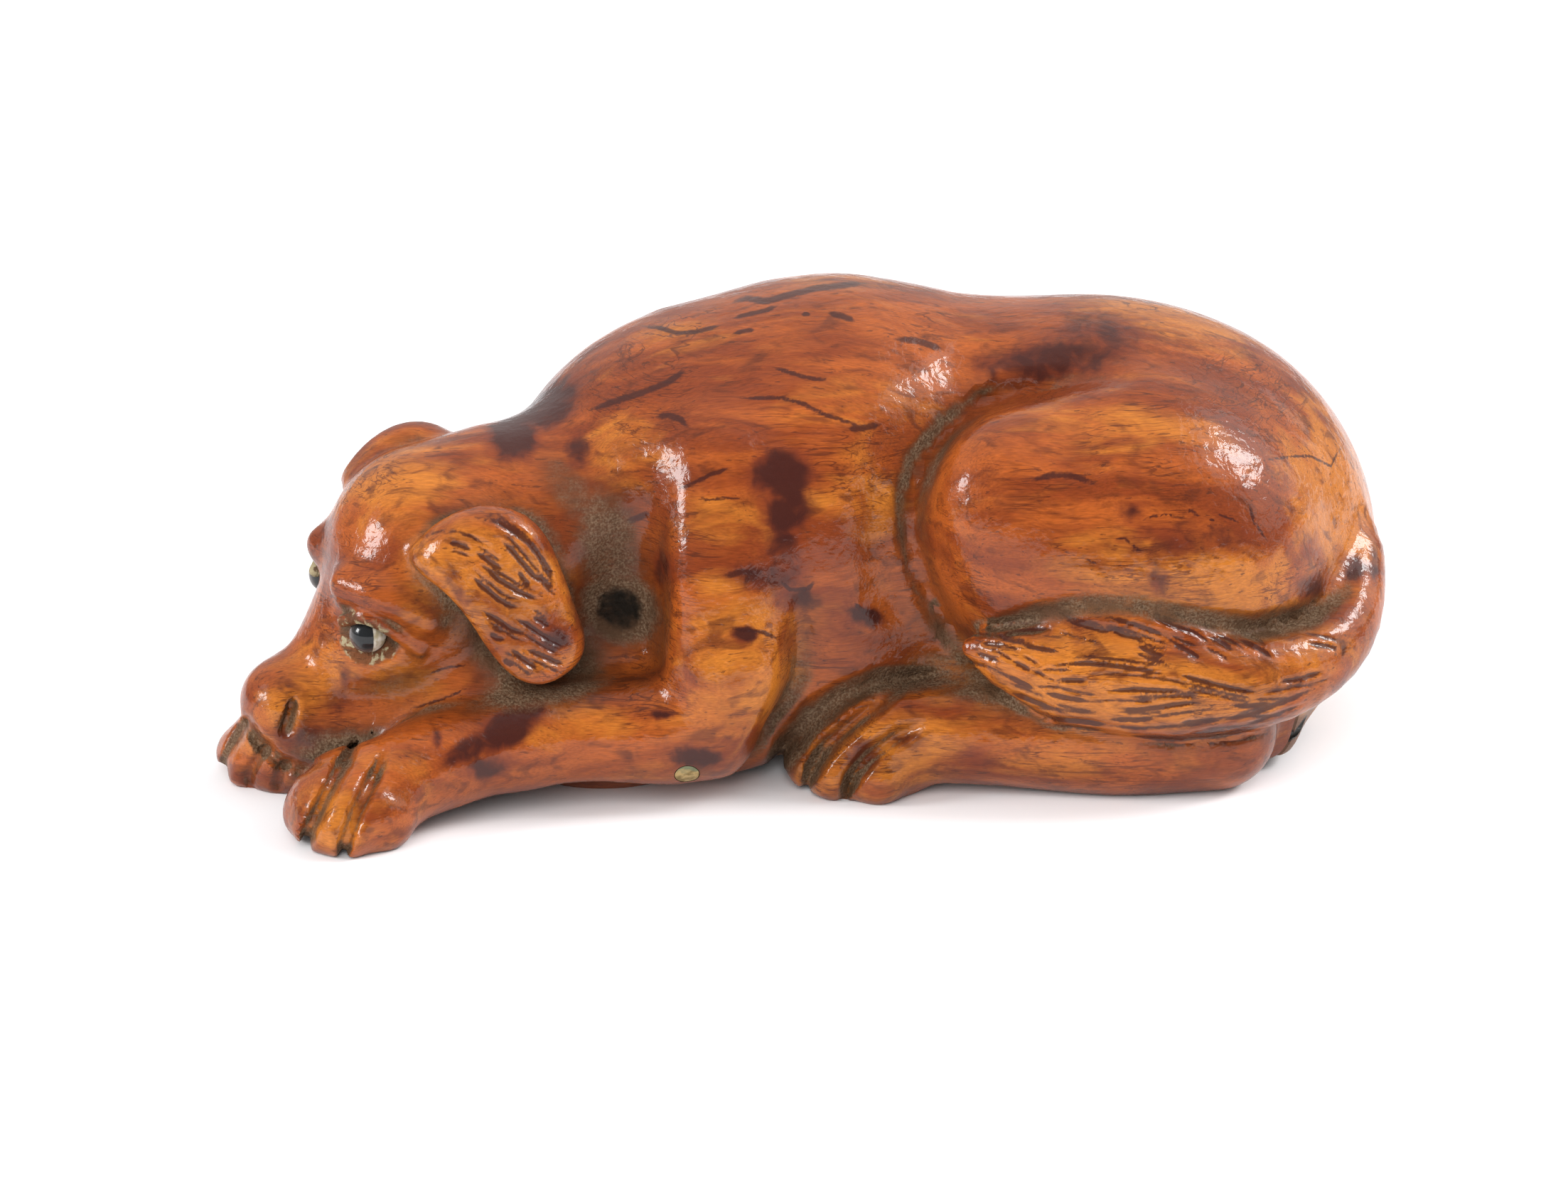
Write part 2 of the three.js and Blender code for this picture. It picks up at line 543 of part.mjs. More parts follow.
// Collapses the cheapest edges first; weight says how much a place counts against the others
function simplify({ points, triangles }, target, weight = () => 1) {
  const quadric = points.map(() => new Array(10).fill(0));
  const faces = points.map(() => new Set());
  const stamp = new Uint32Array(points.length);
  triangles.forEach((triangle, f) => {
    const share = weight(...points[triangle[0]]);
    const plane = planeQuadric(...triangle.map((v) => points[v])).map((value) => value * share);
    for (const v of triangle) {
      faces[v].add(f);
      for (let i = 0; i < 10; i += 1) quadric[v][i] += plane[i];
    }
  });
  const ring = (v) => new Set([...faces[v]].flatMap((f) => triangles[f]).filter((w) => w !== v));
  const heap = new Heap();
  const offer = (a, b) => {
    const q = quadric[a].map((value, i) => value + quadric[b][i]);
    const pull = PULL_TO_MIDDLE * (q[0] + q[4] + q[7]);
    const mid = points[a].map((value, i) => (value + points[b][i]) / 2);
    const solve = new THREE.Matrix3()
      .set(q[0] + pull, q[1], q[2], q[1], q[4] + pull, q[5], q[2], q[5], q[7] + pull)
      .invert();
    const at = new THREE.Vector3(pull * mid[0] - q[3], pull * mid[1] - q[6], pull * mid[2] - q[8])
      .applyMatrix3(solve)
      .toArray();
    const length = points[a].reduce((sum, value, i) => sum + (value - points[b][i]) ** 2, 0);
    const cost = Math.max(quadricError(q, at), 0) + 1e-4 * length;
    heap.push({ cost, a, b, at, mark: stamp[a] + stamp[b] });
  };
  for (let v = 0; v < points.length; v += 1) {
    for (const w of ring(v)) {
      if (v < w) offer(v, w);
    }
  }
  let alive = triangles.length;
  while (alive > target && heap.items.length > 0) {
    const { a, b, at, mark } = heap.pop();
    if (mark !== stamp[a] + stamp[b] || !faces[a].size || !faces[b].size) continue;
    const ringB = ring(b);
    const shared = [...ring(a)].filter((v) => ringB.has(v));
    if (shared.length !== 2) continue;
    const turnsOver = ([v, other]) => [...faces[v]].some((f) => {
      if (triangles[f].includes(other)) return false;
      const before = faceNormal(...triangles[f].map((w) => points[w]));
      const after = faceNormal(...triangles[f].map((w) => (w === v ? at : points[w])));
      const dot = before[0] * after[0] + before[1] * after[1] + before[2] * after[2];
      const size = Math.hypot(...before) * Math.hypot(...after);
      return dot < LEAST_FACE_COSINE * size || size < 1e-10;
    });
    if ([[a, b], [b, a]].some(turnsOver)) continue;
    points[a] = at;
    for (let i = 0; i < 10; i += 1) quadric[a][i] += quadric[b][i];
    for (const f of [...faces[b]]) {
      if (triangles[f].includes(a)) {
        for (const v of triangles[f]) faces[v].delete(f);
        triangles[f] = null;
        alive -= 1;
      } else {
        triangles[f] = triangles[f].map((v) => (v === b ? a : v));
        faces[a].add(f);
      }
    }
    faces[b].clear();
    const around = ring(a);
    stamp[a] += 1000;
    for (const v of around) offer(a, v);
  }
  const renamed = new Map();
  const kept = [];
  const keptTriangles = triangles.filter(Boolean).map((triangle) => triangle.map((v) => {
    if (!renamed.has(v)) renamed.set(v, kept.push(points[v]) - 1);
    return renamed.get(v);
  }));
  return { points: kept, triangles: keptTriangles };
}

// Solids

function solidFrom({ points, triangles }) {
  return new wasm.Manifold(new wasm.Mesh({
    numProp: 3,
    vertProperties: new Float32Array(points.flat()),
    triVerts: new Uint32Array(triangles.flat()),
  }));
}

function solidOf(geometry) {
  const bare = new THREE.BufferGeometry();
  bare.setAttribute('position', geometry.getAttribute('position'));
  bare.setIndex(geometry.getIndex());
  const merged = mergeVertices(bare, 1e-5);
  return new wasm.Manifold(new wasm.Mesh({
    numProp: 3,
    vertProperties: new Float32Array(merged.getAttribute('position').array),
    triVerts: new Uint32Array(merged.getIndex().array),
  }));
}

function boxBetween(low, high) {
  const size = high.map((value, i) => value - low[i]);
  const geometry = new THREE.BoxGeometry(...size);
  return solidOf(geometry.translate(...high.map((value, i) => (value + low[i]) / 2)));
}

function roundedPlate([x0, x1], halfWidth, corner, [z0, z1]) {
  const shape = new THREE.Shape();
  shape.moveTo(x0, -halfWidth);
  shape.lineTo(x1 - corner, -halfWidth);
  shape.quadraticCurveTo(x1, -halfWidth, x1, corner - halfWidth);
  shape.lineTo(x1, halfWidth - corner);
  shape.quadraticCurveTo(x1, halfWidth, x1 - corner, halfWidth);
  shape.lineTo(x0, halfWidth);
  shape.closePath();
  const extrusion = { depth: z1 - z0, bevelEnabled: false, curveSegments: 8 };
  return solidOf(new THREE.ExtrudeGeometry(shape, extrusion).translate(0, 0, z0));
}

function rod(radius, halfLength, at, sides = 20) {
  const geometry = new THREE.CylinderGeometry(radius, radius, 2 * halfLength, sides);
  return solidOf(geometry.translate(...at));
}

function capsule(radius, from, to) {
  const start = new THREE.Vector3(...from);
  const run = new THREE.Vector3(...to).sub(start);
  const geometry = new THREE.CapsuleGeometry(radius, run.length(), 3, 8);
  const heading = run.clone().normalize();
  const turn = new THREE.Quaternion().setFromUnitVectors(new THREE.Vector3(0, 1, 0), heading);
  return solidOf(geometry.applyQuaternion(turn).translate(...start.addScaledVector(run, 0.5).toArray()));
}

const SOLE_STOCK = 1;
const stock = (x, y, z) => Math.max(dog(x, y, z), -SOLE_STOCK - z);
const ground = boxBetween([-80, -80, -20], [80, 80, 0]);
// Head, paws and tail keep more of their detail than the broad flanks
const detail = (x, y, z) => (x < -16 || (y < -15 && z < 15) ? 8 : 1);
const carving = meshField(stock, [-48, -36, -3], [50, 24, 40], GRID);
const carved = solidFrom(simplify(carving, DOG_TRIANGLES, detail)).subtract(ground);
// Pockets sealed up between neck, chest and forelegs are filled
const figure = carved.decompose().reduce((a, b) => (a.volume() > b.volume() ? a : b));

// The cavity follows the trunk at one wall thickness and narrows to a straight mouth
const mouth = block(
  [(MOUTH.front + MOUTH.rear) / 2, 0, 20],
  [(MOUTH.rear - MOUTH.front) / 2, MOUTH.halfWidth, 20],
  MOUTH.corner,
);
const cavityFloor = LID.top - 0.6;
const hollow = (x, y, z) => Math.max(carve(trunk(x, y, z) + WALL, -mouth(x, y, 20), 3), cavityFloor - z);
const cavity = solidFrom(simplify(meshField(hollow, [-8, -14, 2], [40, 14, 34], 0.9), CAVITY_TRIANGLES));

const hingeAt = [HINGE.x, 0, HINGE.z];
const lidBlank = roundedPlate([HINGE.x, LID.rear], LID.halfWidth, LID.corner, [LID.bottom, LID.top])
  .add(rod(LID.knuckle, LID.halfWidth, hingeAt));
const recess = roundedPlate([HINGE.x, LID.rear + 4], LID.halfWidth + GAP, LID.corner, [-1, LID.top + GAP])
  .add(rod(LID.knuckle + GAP, LID.halfWidth + GAP, hingeAt))
  .add(boxBetween(
    [HINGE.x - LID.knuckle - GAP, -LID.halfWidth - GAP, -1],
    [HINGE.x + 1, LID.halfWidth + GAP, HINGE.z],
  ));
const bore = rod(HINGE.radius + HINGE.play, HINGE.reach, hingeAt);
const nailNotch = capsule(0.45, [36.4, -11.4, 2.6], [39.4, -9.4, 3.6]);

const eyeCentres = EYES.map((eye) => new THREE.Vector3(...eye).applyMatrix4(headFrame));
function ballAt(centre, radius) {
  return solidOf(new THREE.SphereGeometry(radius, 16, 10).translate(...centre.toArray()));
}

let body = figure.subtract(cavity).subtract(recess).subtract(bore);
for (const centre of eyeCentres) body = body.subtract(ballAt(centre, BEAD + GAP));
const lid = figure.intersect(lidBlank).subtract(bore).subtract(nailNotch);
const pin = figure.intersect(rod(HINGE.radius, HINGE.reach, hingeAt));

// Materials and meshes

const finishes = {
  body: { color: 0x9c5318, roughness: 0.28, metalness: 0 },
  lid: { color: 0x8a5226, roughness: 0.6, metalness: 0 },
  brass: { color: 0xa08a4e, roughness: 0.45, metalness: 0.9 },
  glass: { color: 0x15171b, roughness: 0.06, metalness: 0 },
};

function meshFrom(solid, name, finish) {
  const { vertProperties, triVerts } = solid.getMesh();
  const geometry = new THREE.BufferGeometry();
  geometry.setAttribute('position', new THREE.BufferAttribute(new Float32Array(vertProperties), 3));
  geometry.setIndex(new THREE.BufferAttribute(new Uint32Array(triVerts), 1));
  geometry.computeVertexNormals();
  const mesh = new THREE.Mesh(geometry, new THREE.MeshStandardMaterial(finish));
  mesh.name = name;
  return mesh;
}

const group = new THREE.Group();
group.name = 'snuff_box';
group.add(
  meshFrom(body, 'dog_body', finishes.body),
  meshFrom(lid, 'base_lid', finishes.lid),
  meshFrom(pin, 'hinge_pin', finishes.brass),
  meshFrom(ballAt(eyeCentres[0], BEAD), 'left_eye', finishes.glass),
  meshFrom(ballAt(eyeCentres[1], BEAD), 'right_eye', finishes.glass),
);

// The origin is the middle of the outline on the ground
const bounds = new THREE.Box3().setFromObject(group);
const middle = bounds.getCenter(new THREE.Vector3());
for (const mesh of group.children) mesh.geometry.translate(-middle.x, -middle.y, -bounds.min.z);

export default group;
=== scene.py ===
import math
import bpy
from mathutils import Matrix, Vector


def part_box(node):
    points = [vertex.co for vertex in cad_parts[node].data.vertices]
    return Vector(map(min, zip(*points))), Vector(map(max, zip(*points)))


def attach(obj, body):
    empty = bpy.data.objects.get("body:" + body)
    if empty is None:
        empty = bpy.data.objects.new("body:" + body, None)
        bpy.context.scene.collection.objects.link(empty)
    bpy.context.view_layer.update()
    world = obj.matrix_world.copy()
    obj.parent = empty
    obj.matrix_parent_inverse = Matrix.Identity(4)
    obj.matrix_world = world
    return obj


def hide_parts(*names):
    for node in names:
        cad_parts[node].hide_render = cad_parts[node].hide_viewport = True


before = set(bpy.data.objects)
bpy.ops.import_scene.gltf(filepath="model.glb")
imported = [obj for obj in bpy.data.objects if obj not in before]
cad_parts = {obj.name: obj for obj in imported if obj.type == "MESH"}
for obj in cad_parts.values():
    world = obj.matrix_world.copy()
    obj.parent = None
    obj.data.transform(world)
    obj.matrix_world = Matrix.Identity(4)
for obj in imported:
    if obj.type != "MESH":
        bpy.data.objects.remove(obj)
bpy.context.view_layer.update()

from concurrent.futures import ThreadPoolExecutor

import bmesh
import bpy
import numpy as np
from mathutils import Matrix, Vector

# Driving sizes, in millimetres in the carver's own frame: the ground is z = 0 and the middle of
# the lid is y = 0. The head lies towards -x, and the dog's left side faces -y, to the camera.
WALL = 4
BEAD = 1.4
HINGE = {"x": -8.5, "z": 3.2, "radius": 0.9, "play": 0.06, "reach": 24}
LID = {"top": 5.2, "bottom": 1.2, "half_width": 11.2, "corner": 3, "knuckle": 2, "rear": 44}
MOUTH = {
    "front": -4.4, "rear": 35.6, "half_width": 8.8, "half_height": 20, "corner": 3.5, "soft": 3,
}
GAP = 0.3
EYE_PLAY = 0.05
NAIL_SLIT = ((36.4, -11.4, 2.6), (39.4, -9.4, 3.6))
NAIL_SLIT_RADIUS = 0.45
PHOTO = {"width": 2206, "height": 1680, "pixels_per_mm": 18.2}
CAMERA = {"target": (-1.26, 0, 9.94), "elevation": 20, "distance": 490, "sensor": 36}

pin_low, pin_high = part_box("hinge_pin")
lid_low, lid_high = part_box("base_lid")
SHIFT = np.array([
    (pin_low.x + pin_high.x) * 500 - HINGE["x"],
    (lid_low.y + lid_high.y) * 500,
    0,
])


# Distance shapes: each takes an array of points and gives values that are negative inside the wood

FAR_OFF = 8
PRESS_REACH = 3


def join(a, b, soft):
    overlap = np.maximum(soft - np.abs(a - b), 0)
    return np.minimum(a, b) - overlap**2 / (4 * soft)


def carve(a, b, soft):
    return -join(-a, b, soft)


def blob(at, radii, turn=(0, 0, 0)):
    basis = np.eye(3)
    for axis, degrees in zip("XYZ", turn):
        if degrees:
            basis = basis @ np.array(Matrix.Rotation(math.radians(degrees), 3, axis))

    def distance(p):
        local = (p - at) @ basis / radii
        reach = np.sqrt((local**2).sum(1))
        slope = np.sqrt(((local / radii) ** 2).sum(1))
        return reach * (reach - 1) / np.maximum(slope, 1e-9)

    return distance


def smooth_path(stations, steps):
    """Points on a centripetal Catmull-Rom curve through the stations."""
    p = np.array(stations, float)
    ends = np.vstack([2 * p[0] - p[1], p, 2 * p[-1] - p[-2]])
    path = []
    for i in range(steps + 1):
        place = i / steps * (len(p) - 1)
        k = min(int(place), len(p) - 2)
        t = place - k
        p0, p1, p2, p3 = ends[k:k + 4]
        gap0, gap1, gap2 = (np.linalg.norm(b - a) ** 0.5 for a, b in ((p0, p1), (p1, p2), (p2, p3)))
        start = ((p1 - p0) / gap0 - (p2 - p0) / (gap0 + gap1) + (p2 - p1) / gap1) * gap1
        end = ((p2 - p1) / gap1 - (p3 - p1) / (gap1 + gap2) + (p3 - p2) / gap2) * gap1
        bend = -3 * p1 + 3 * p2 - 2 * start - end
        twist = 2 * p1 - 2 * p2 + start + end
        path.append(p1 + start * t + bend * t**2 + twist * t**3)
    return np.array(path)


def limb(stations, steps=14):
    """A limb follows a smooth curve through (x, y, z, radius) stations."""
    spine = smooth_path([s[:3] for s in stations], steps)
    place = np.linspace(0, len(stations) - 1, steps + 1)
    radii = np.interp(place, range(len(stations)), [s[3] for s in stations])
    middle = (spine.min(0) + spine.max(0)) / 2
    reach = np.linalg.norm(spine - middle, axis=1).max() + max(s[3] for s in stations)

    def distance(p):
        away = np.sqrt(((p - middle) ** 2).sum(1)) - reach
        near = away <= FAR_OFF
        q = p[near]
        best = np.full(len(q), np.inf)
        for a, b, ra, rb in zip(spine[:-1], spine[1:], radii[:-1], radii[1:]):
            run = b - a
            t = np.clip((q - a) @ run / (run @ run), 0, 1)
            off = q - a - t[:, None] * run
            best = np.minimum(best, np.sqrt((off**2).sum(1)) - ra - t * (rb - ra))
        away[near] = best
        return away

    return distance


def block(at, half, rounding):
    def distance(p):
        out = np.abs(p - at) - half + rounding
        outer = np.sqrt((np.maximum(out, 0) ** 2).sum(1))
        return outer + np.minimum(out.max(1), 0) - rounding

    return distance


def placed(shape, origin, basis):
    return lambda p: shape((p - origin) @ basis)


def mirrored(shape):
    return lambda p: shape(p * (1, 0, 1) + np.abs(p) * (0, 1, 0))


def rounded(corners, times):
    """Cuts off the corners of an outline, each time at a quarter of its edges."""
    corners = np.array(corners, float)
    for _ in range(times):
        after = np.roll(corners, -1, axis=0)
        ends = corners * 0.75 + after * 0.25, corners * 0.25 + after * 0.75
        corners = np.stack(ends, 1).reshape(-1, 2)
    return corners


def flap(outline, thickness, rounding, middle):
    """A curved plate with a drawn outline, standing off a side of the head."""
    corners = rounded(outline, 2)
    centre = (corners.min(0) + corners.max(0)) / 2
    reach = np.linalg.norm(corners - centre, axis=1).max()

    def distance(p):
        away = np.linalg.norm(p[:, [0, 2]] - centre, axis=1) - reach
        near = away <= FAR_OFF
        away[near] = close_distance(p[near])
        return away

    def close_distance(p):
        x, y, z = p.T
        nearest = np.full(len(p), np.inf)
        inside = np.zeros(len(p), bool)
        for (ax, az), (bx, bz) in zip(corners, np.roll(corners, 1, axis=0)):
            dx, dz = bx - ax, bz - az
            t = np.clip(((x - ax) * dx + (z - az) * dz) / (dx * dx + dz * dz), 0, 1)
            nearest = np.minimum(nearest, (x - ax - t * dx) ** 2 + (z - az - t * dz) ** 2)
            if dz:
                inside ^= ((az > z) != (bz > z)) & (x < ax + (z - az) * dx / dz)
        across = np.where(inside, -1, 1) * np.sqrt(nearest) + rounding
        through = np.abs(y - middle(x, z)) - thickness / 2 + rounding
        outer = np.sqrt(np.maximum(across, 0) ** 2 + np.maximum(through, 0) ** 2)
        return outer + np.minimum(np.maximum(across, through), 0) - rounding

    return distance


def line_distance(u, v, lines):
    """The distance in a drawing from each point (u, v) to the nearest of the lines."""
    nearest = np.full(len(u), np.inf)
    for line in lines:
        for (au, av), (bu, bv) in zip(line[:-1], line[1:]):
            du, dv = bu - au, bv - av
            t = np.clip(((u - au) * du + (v - av) * dv) / (du * du + dv * dv), 0, 1)
            nearest = np.minimum(nearest, (u - au - t * du) ** 2 + (v - av - t * dv) ** 2)
    return np.sqrt(nearest)


def tool_mark(u, v, lines, width):
    """How deep a tool of this half width goes at (u, v): 1 along a line, easing out at both its ends."""
    best = np.zeros(len(u))
    for line in lines:
        pieces = len(line) - 1
        for i, ((au, av), (bu, bv)) in enumerate(zip(line[:-1], line[1:])):
            du, dv = bu - au, bv - av
            t = np.clip(((u - au) * du + (v - av) * dv) / (du * du + dv * dv), 0, 1)
            off = (u - au - t * du) ** 2 + (v - av - t * dv) ** 2
            along = (i + t) / pieces
            ease = np.clip(0.2 + 4 * np.minimum(along, 1 - along), 0, 1)
            reach = width * (0.4 + 0.6 * ease)
            best = np.maximum(best, ease * np.maximum(1 - off / reach**2, 0) ** 2)
    return best


def chisel(lines, width, depth, view):
    """Lines drawn flat and pressed into the surface: the depth at each point."""
    def press(p):
        return depth * tool_mark(*view(p), lines, width)

    return press


def from_near(p):
    return np.where(p[:, 1] < 0, p[:, 0], 1e3), p[:, 2]


def sculpt(*steps):
    def distance(p):
        d = np.full(len(p), np.inf)
        for action, shape, soft in steps:
            if action == "add":
                d = join(d, shape(p), soft)
            elif action == "cut":
                d = carve(d, shape(p), soft)
            else:
                near = np.abs(d) < PRESS_REACH
                d[near] += shape(p[near])
        return d

    return distance


# The photograph's own plane, for what is placed by a pixel of it

RISE = math.radians(CAMERA["elevation"])
AWAY = np.array([0, math.cos(RISE), -math.sin(RISE)])
UPRIGHT = np.array([0, math.sin(RISE), math.cos(RISE)])


def as_photographed(p):
    """The pixel across and down at which each point shows in the photograph."""
    offset = p - CAMERA["target"]
    scale = PHOTO["pixels_per_mm"] * CAMERA["distance"] / (CAMERA["distance"] + offset @ AWAY)
    return PHOTO["width"] / 2 + offset[:, 0] * scale, PHOTO["height"] / 2 - offset @ UPRIGHT * scale


def drawn_within(low, high):
    """A view of the photograph's pixels, for points inside a box only."""
    def view(p):
        px, py = as_photographed(p)
        return np.where(((p > low) & (p < high)).all(1), px, 1e5), py

    return view


def gouge(lines, width, depth, low, high):
    """Lines drawn on the photograph and pressed into the wood, with width and depth in millimetres."""
    return chisel(lines, width * PHOTO["pixels_per_mm"], depth, drawn_within(low, high))


# The dog

trunk = sculpt(
    ("add", blob((25.2, 0, 13.9), (19.1, 18.4, 18.9)), 1),
    ("add", limb([
        (-5, -1, 17.2, 16.4), (2, 0.5, 17.2, 18), (9, 1, 16.5, 17.2), (18, 0.5, 15.2, 17.2),
    ]), 5),
    ("add", limb([
        (-28, -10.6, 18.2, 7.4), (-22.5, -8.6, 18, 8.6), (-18.5, -7, 17.6, 9.1),
        (-14, -4.5, 17.2, 10.2), (-9, -2, 17, 13.3),
    ], 24), 5),
    ("add", block((12.5, 0, 5.4), (25.5, 12.3, 5.4), 3), 2),
    ("add", blob((2.6, -12.4, 7), (7, 3.6, 6)), 2),
)

HEAD_TURN = math.radians(17)
HEAD_ROLL = math.radians(5)
HEAD_AT = (-34.6, -13.5, 14.2)
forward = np.array([-math.cos(HEAD_TURN), -math.sin(HEAD_TURN), 0])
left = np.array([math.sin(HEAD_TURN), -math.cos(HEAD_TURN), -math.tan(HEAD_ROLL)])
left /= np.linalg.norm(left)
HEAD_BASIS = np.column_stack([forward, left, np.cross(forward, left)])
EYES = {"left": (-0.9, 5.2, -0.1), "right": (-0.3, -5.5, 0.1)}

EAR_OUTLINE = [
    (-3.6, 7), (-5.8, 9.4), (-8.6, 10.6), (-11.4, 10.2), (-13.6, 8.4), (-14.8, 5.2), (-15.8, 2),
    (-16.4, 0.4), (-16, -1.2), (-14.2, -2.1), (-12.2, -2.4), (-10.2, -1.6), (-8.6, 0.4),
    (-7.4, 2.6), (-5.8, 4.6), (-4, 5.8),
]
near_ear = flap(EAR_OUTLINE, 3.2, 1.3, lambda x, z: 8.8 + 0.3 * (8 - z) - 0.045 * (x + 10.5) ** 2)
far_ear = flap(
    [(x + 1.9, z + 0.3) for x, z in EAR_OUTLINE], 3.2, 1.3,
    lambda x, z: -8.8 - 0.3 * (7.5 - z) + 0.045 * (x + 8.6) ** 2,
)
NOSTRIL = [(4.4, -5.4), (5.3, -8.3)]


def beside_the_nose(p):
    return np.where(np.abs(p[:, 1] - 0.8) > 1.5, p[:, 0], 1e3), p[:, 2]


head = sculpt(
    ("add", blob((-7.4, 0, 3), (8.2, 7.8, 7.8)), 1),
    ("add", blob((-5.4, 0, -2.4), (7.2, 7, 5.6)), 3),
    ("add", limb([(-4.4, 0, -2.8, 5.4), (0.2, 0.1, -6.1, 4.5), (3.2, 0.6, -8, 4)]), 2.5),
    ("add", blob((4.7, 0.8, -6.9), (2.9, 3.2, 2.8)), 1.6),
    ("add", blob((0.6, 2.7, -9), (5, 3, 3.1), (0, 22, 0)), 1.5),
    ("add", blob((0.8, -1.6, -8.8), (5, 3, 3.1), (0, 22, 0)), 1.5),
    ("add", mirrored(limb([(0.2, 3.8, 3.4, 1.4), (-1.8, 6.2, 3.2, 1.3), (-4.8, 7.4, 1.6, 0.9)])), 1.8),
    ("add", blob((-0.6, 0, -10.4), (3.4, 2.6, 1.9)), 0.8),
    ("add", mirrored(limb([
        (1.2, 3.6, -9.4, 2), (-2.4, 5, -8.4, 2.8), (-6.4, 6, -6.6, 2.8), (-10.5, 6.6, -4.2, 2.6),
    ])), 1.8),
    ("cut", mirrored(blob((-0.6, 6.6, -0.2), (2.5, 1.5, 1.7), (0, 20, 0))), 1),
    ("add", mirrored(limb([(0.8, 4.6, 0.9, 0.5), (-0.6, 6.2, 1.7, 0.55), (-4.4, 7.3, -0.9, 0.45)])), 0.5),
    ("cut", mirrored(limb([(1.6, 5.1, -9.6, 0.5), (-1.4, 6, -8.2, 0.6), (-10, 7.6, -4.6, 0.5)])), 0.6),
    ("press", chisel([NOSTRIL], 0.7, 0.8, beside_the_nose), 0),
    ("add", near_ear, 0.8),
    ("add", far_ear, 0.8),
)

near_arm = sculpt(
    ("add", limb([(-6, -12, 24.4, 4), (-6.2, -14.6, 18, 5), (-5.8, -16.4, 11, 5)]), 1),
    ("add", blob((-6, -16.8, 8.6), (4.5, 4.2, 6.4), (0, 22, 0)), 2),
    ("add", blob((-6.6, -13, 4.6), (5, 3.4, 4)), 1),
)
near_forearm = sculpt(
    ("add", limb([
        (-7, -16.6, 6, 4.3), (-10, -17, 5.8, 4.4), (-15.2, -17.6, 5.7, 3.8), (-21, -18.8, 5.6, 3.6),
    ]), 1),
    ("add", limb([(-21, -18.8, 5.6, 3.6), (-26.6, -21, 4.8, 3.8), (-30.4, -23.6, 3.9, 3.5)]), 1.5),
)


def paw(mound, toes):
    """A low mound with rounded toe ends."""
    ends = [("add", blob((x, y, z), (radius,) * 3), 1.2) for x, y, z, radius in toes]
    return sculpt(("add", mound, 1), *ends)


# Lines between the toes and round the feet, by the photograph's pixels
NEAR_PAW_GROOVES = [
    [(500, 1046), (480, 1082), (456, 1128), (436, 1168), (430, 1200)],
    [(548, 1052), (520, 1105), (500, 1145), (486, 1185), (480, 1212)],
]
FAR_PAW_GROOVES = [
    [(352, 1006), (330, 1045), (318, 1070), (321, 1098)],
    [(384, 1040), (362, 1070), (350, 1090), (352, 1112)],
    [(412, 1066), (396, 1082), (390, 1100), (392, 1114)],
]
UNDER_CHIN = [(346, 1006), (362, 1040), (392, 1068), (424, 1080), (448, 1074)]
HIND_PAW_GROOVES = [
    [(1275, 966), (1238, 990), (1200, 1020), (1165, 1050), (1145, 1080), (1132, 1112)],
    [(1300, 1018), (1262, 1036), (1225, 1062), (1202, 1090), (1184, 1124)],
]
HIND_FOOT_TOP = [
    (1086, 1082), (1106, 1046), (1140, 1008), (1185, 978), (1235, 962), (1300, 958), (1400, 962),
]
near_forepaw = paw(
    blob((-32.8, -24, 2.8), (4.9, 5.6, 3.8), (0, 0, -25)),
    [(-36.4, -24.8, 1.8, 1.9), (-35.4, -27, 1.8, 1.9), (-33.4, -28, 1.8, 2), (-30.8, -26.4, 1.8, 2)],
)
far_foreleg = sculpt(
    ("add", limb([(-6, 11.6, 23, 4), (-5.6, 13.4, 16, 4.8), (-5, 14, 9, 5)]), 1),
    ("add", blob((-6, 11.6, 4.6), (5, 3.6, 4)), 1),
    ("add", limb([
        (-5, 14, 5.8, 4.9), (-14, 9, 5.4, 4.2), (-24, -0.6, 5, 3.7),
        (-32, -8.4, 4.2, 3.6), (-37.6, -12.2, 3, 3.4),
    ]), 2),
    ("add", paw(
        blob((-38.4, -12, 2.3), (5.2, 4.3, 3.3), (0, 0, 10)),
        [
            (-41.8, -9.4, 1.5, 1.8), (-42.6, -11.6, 1.5, 1.8),
            (-41.9, -13.8, 1.5, 1.8), (-39.4, -15, 1.5, 1.8),
        ],
    ), 0.8),
)
near_thigh = sculpt(
    ("add", blob((25, -8.4, 17), (15, 12.4, 14.2)), 1),
    ("add", blob((16, -11.6, 20.6), (7.2, 8, 9), (0, -20, 0)), 3),
)
far_thigh = sculpt(
    ("add", blob((25, 8.6, 16.4), (14.6, 11.4, 14)), 1),
    ("add", blob((16.6, 11.4, 19.4), (7, 7.4, 8.6), (0, -20, 0)), 3),
)
near_hind_foot = sculpt(
    ("add", limb([
        (31.2, -14, 4.6, 4.8), (24, -14.6, 4.4, 4.8), (14, -14.2, 4.8, 4.5), (6.4, -14.4, 4.8, 4.2),
    ]), 1),
    ("add", paw(
        blob((5.6, -14.3, 3.4), (5.4, 4.4, 4.6)),
        [(0.6, -12.6, 1.9, 2), (0.9, -14.8, 1.9, 2), (2.6, -16.6, 1.8, 2), (5.8, -17.4, 1.8, 2)],
    ), 1),
)


def far_hind_foot(p):
    return near_hind_foot(p * (1, -1, 1) - (1.5, 0.6, 0))


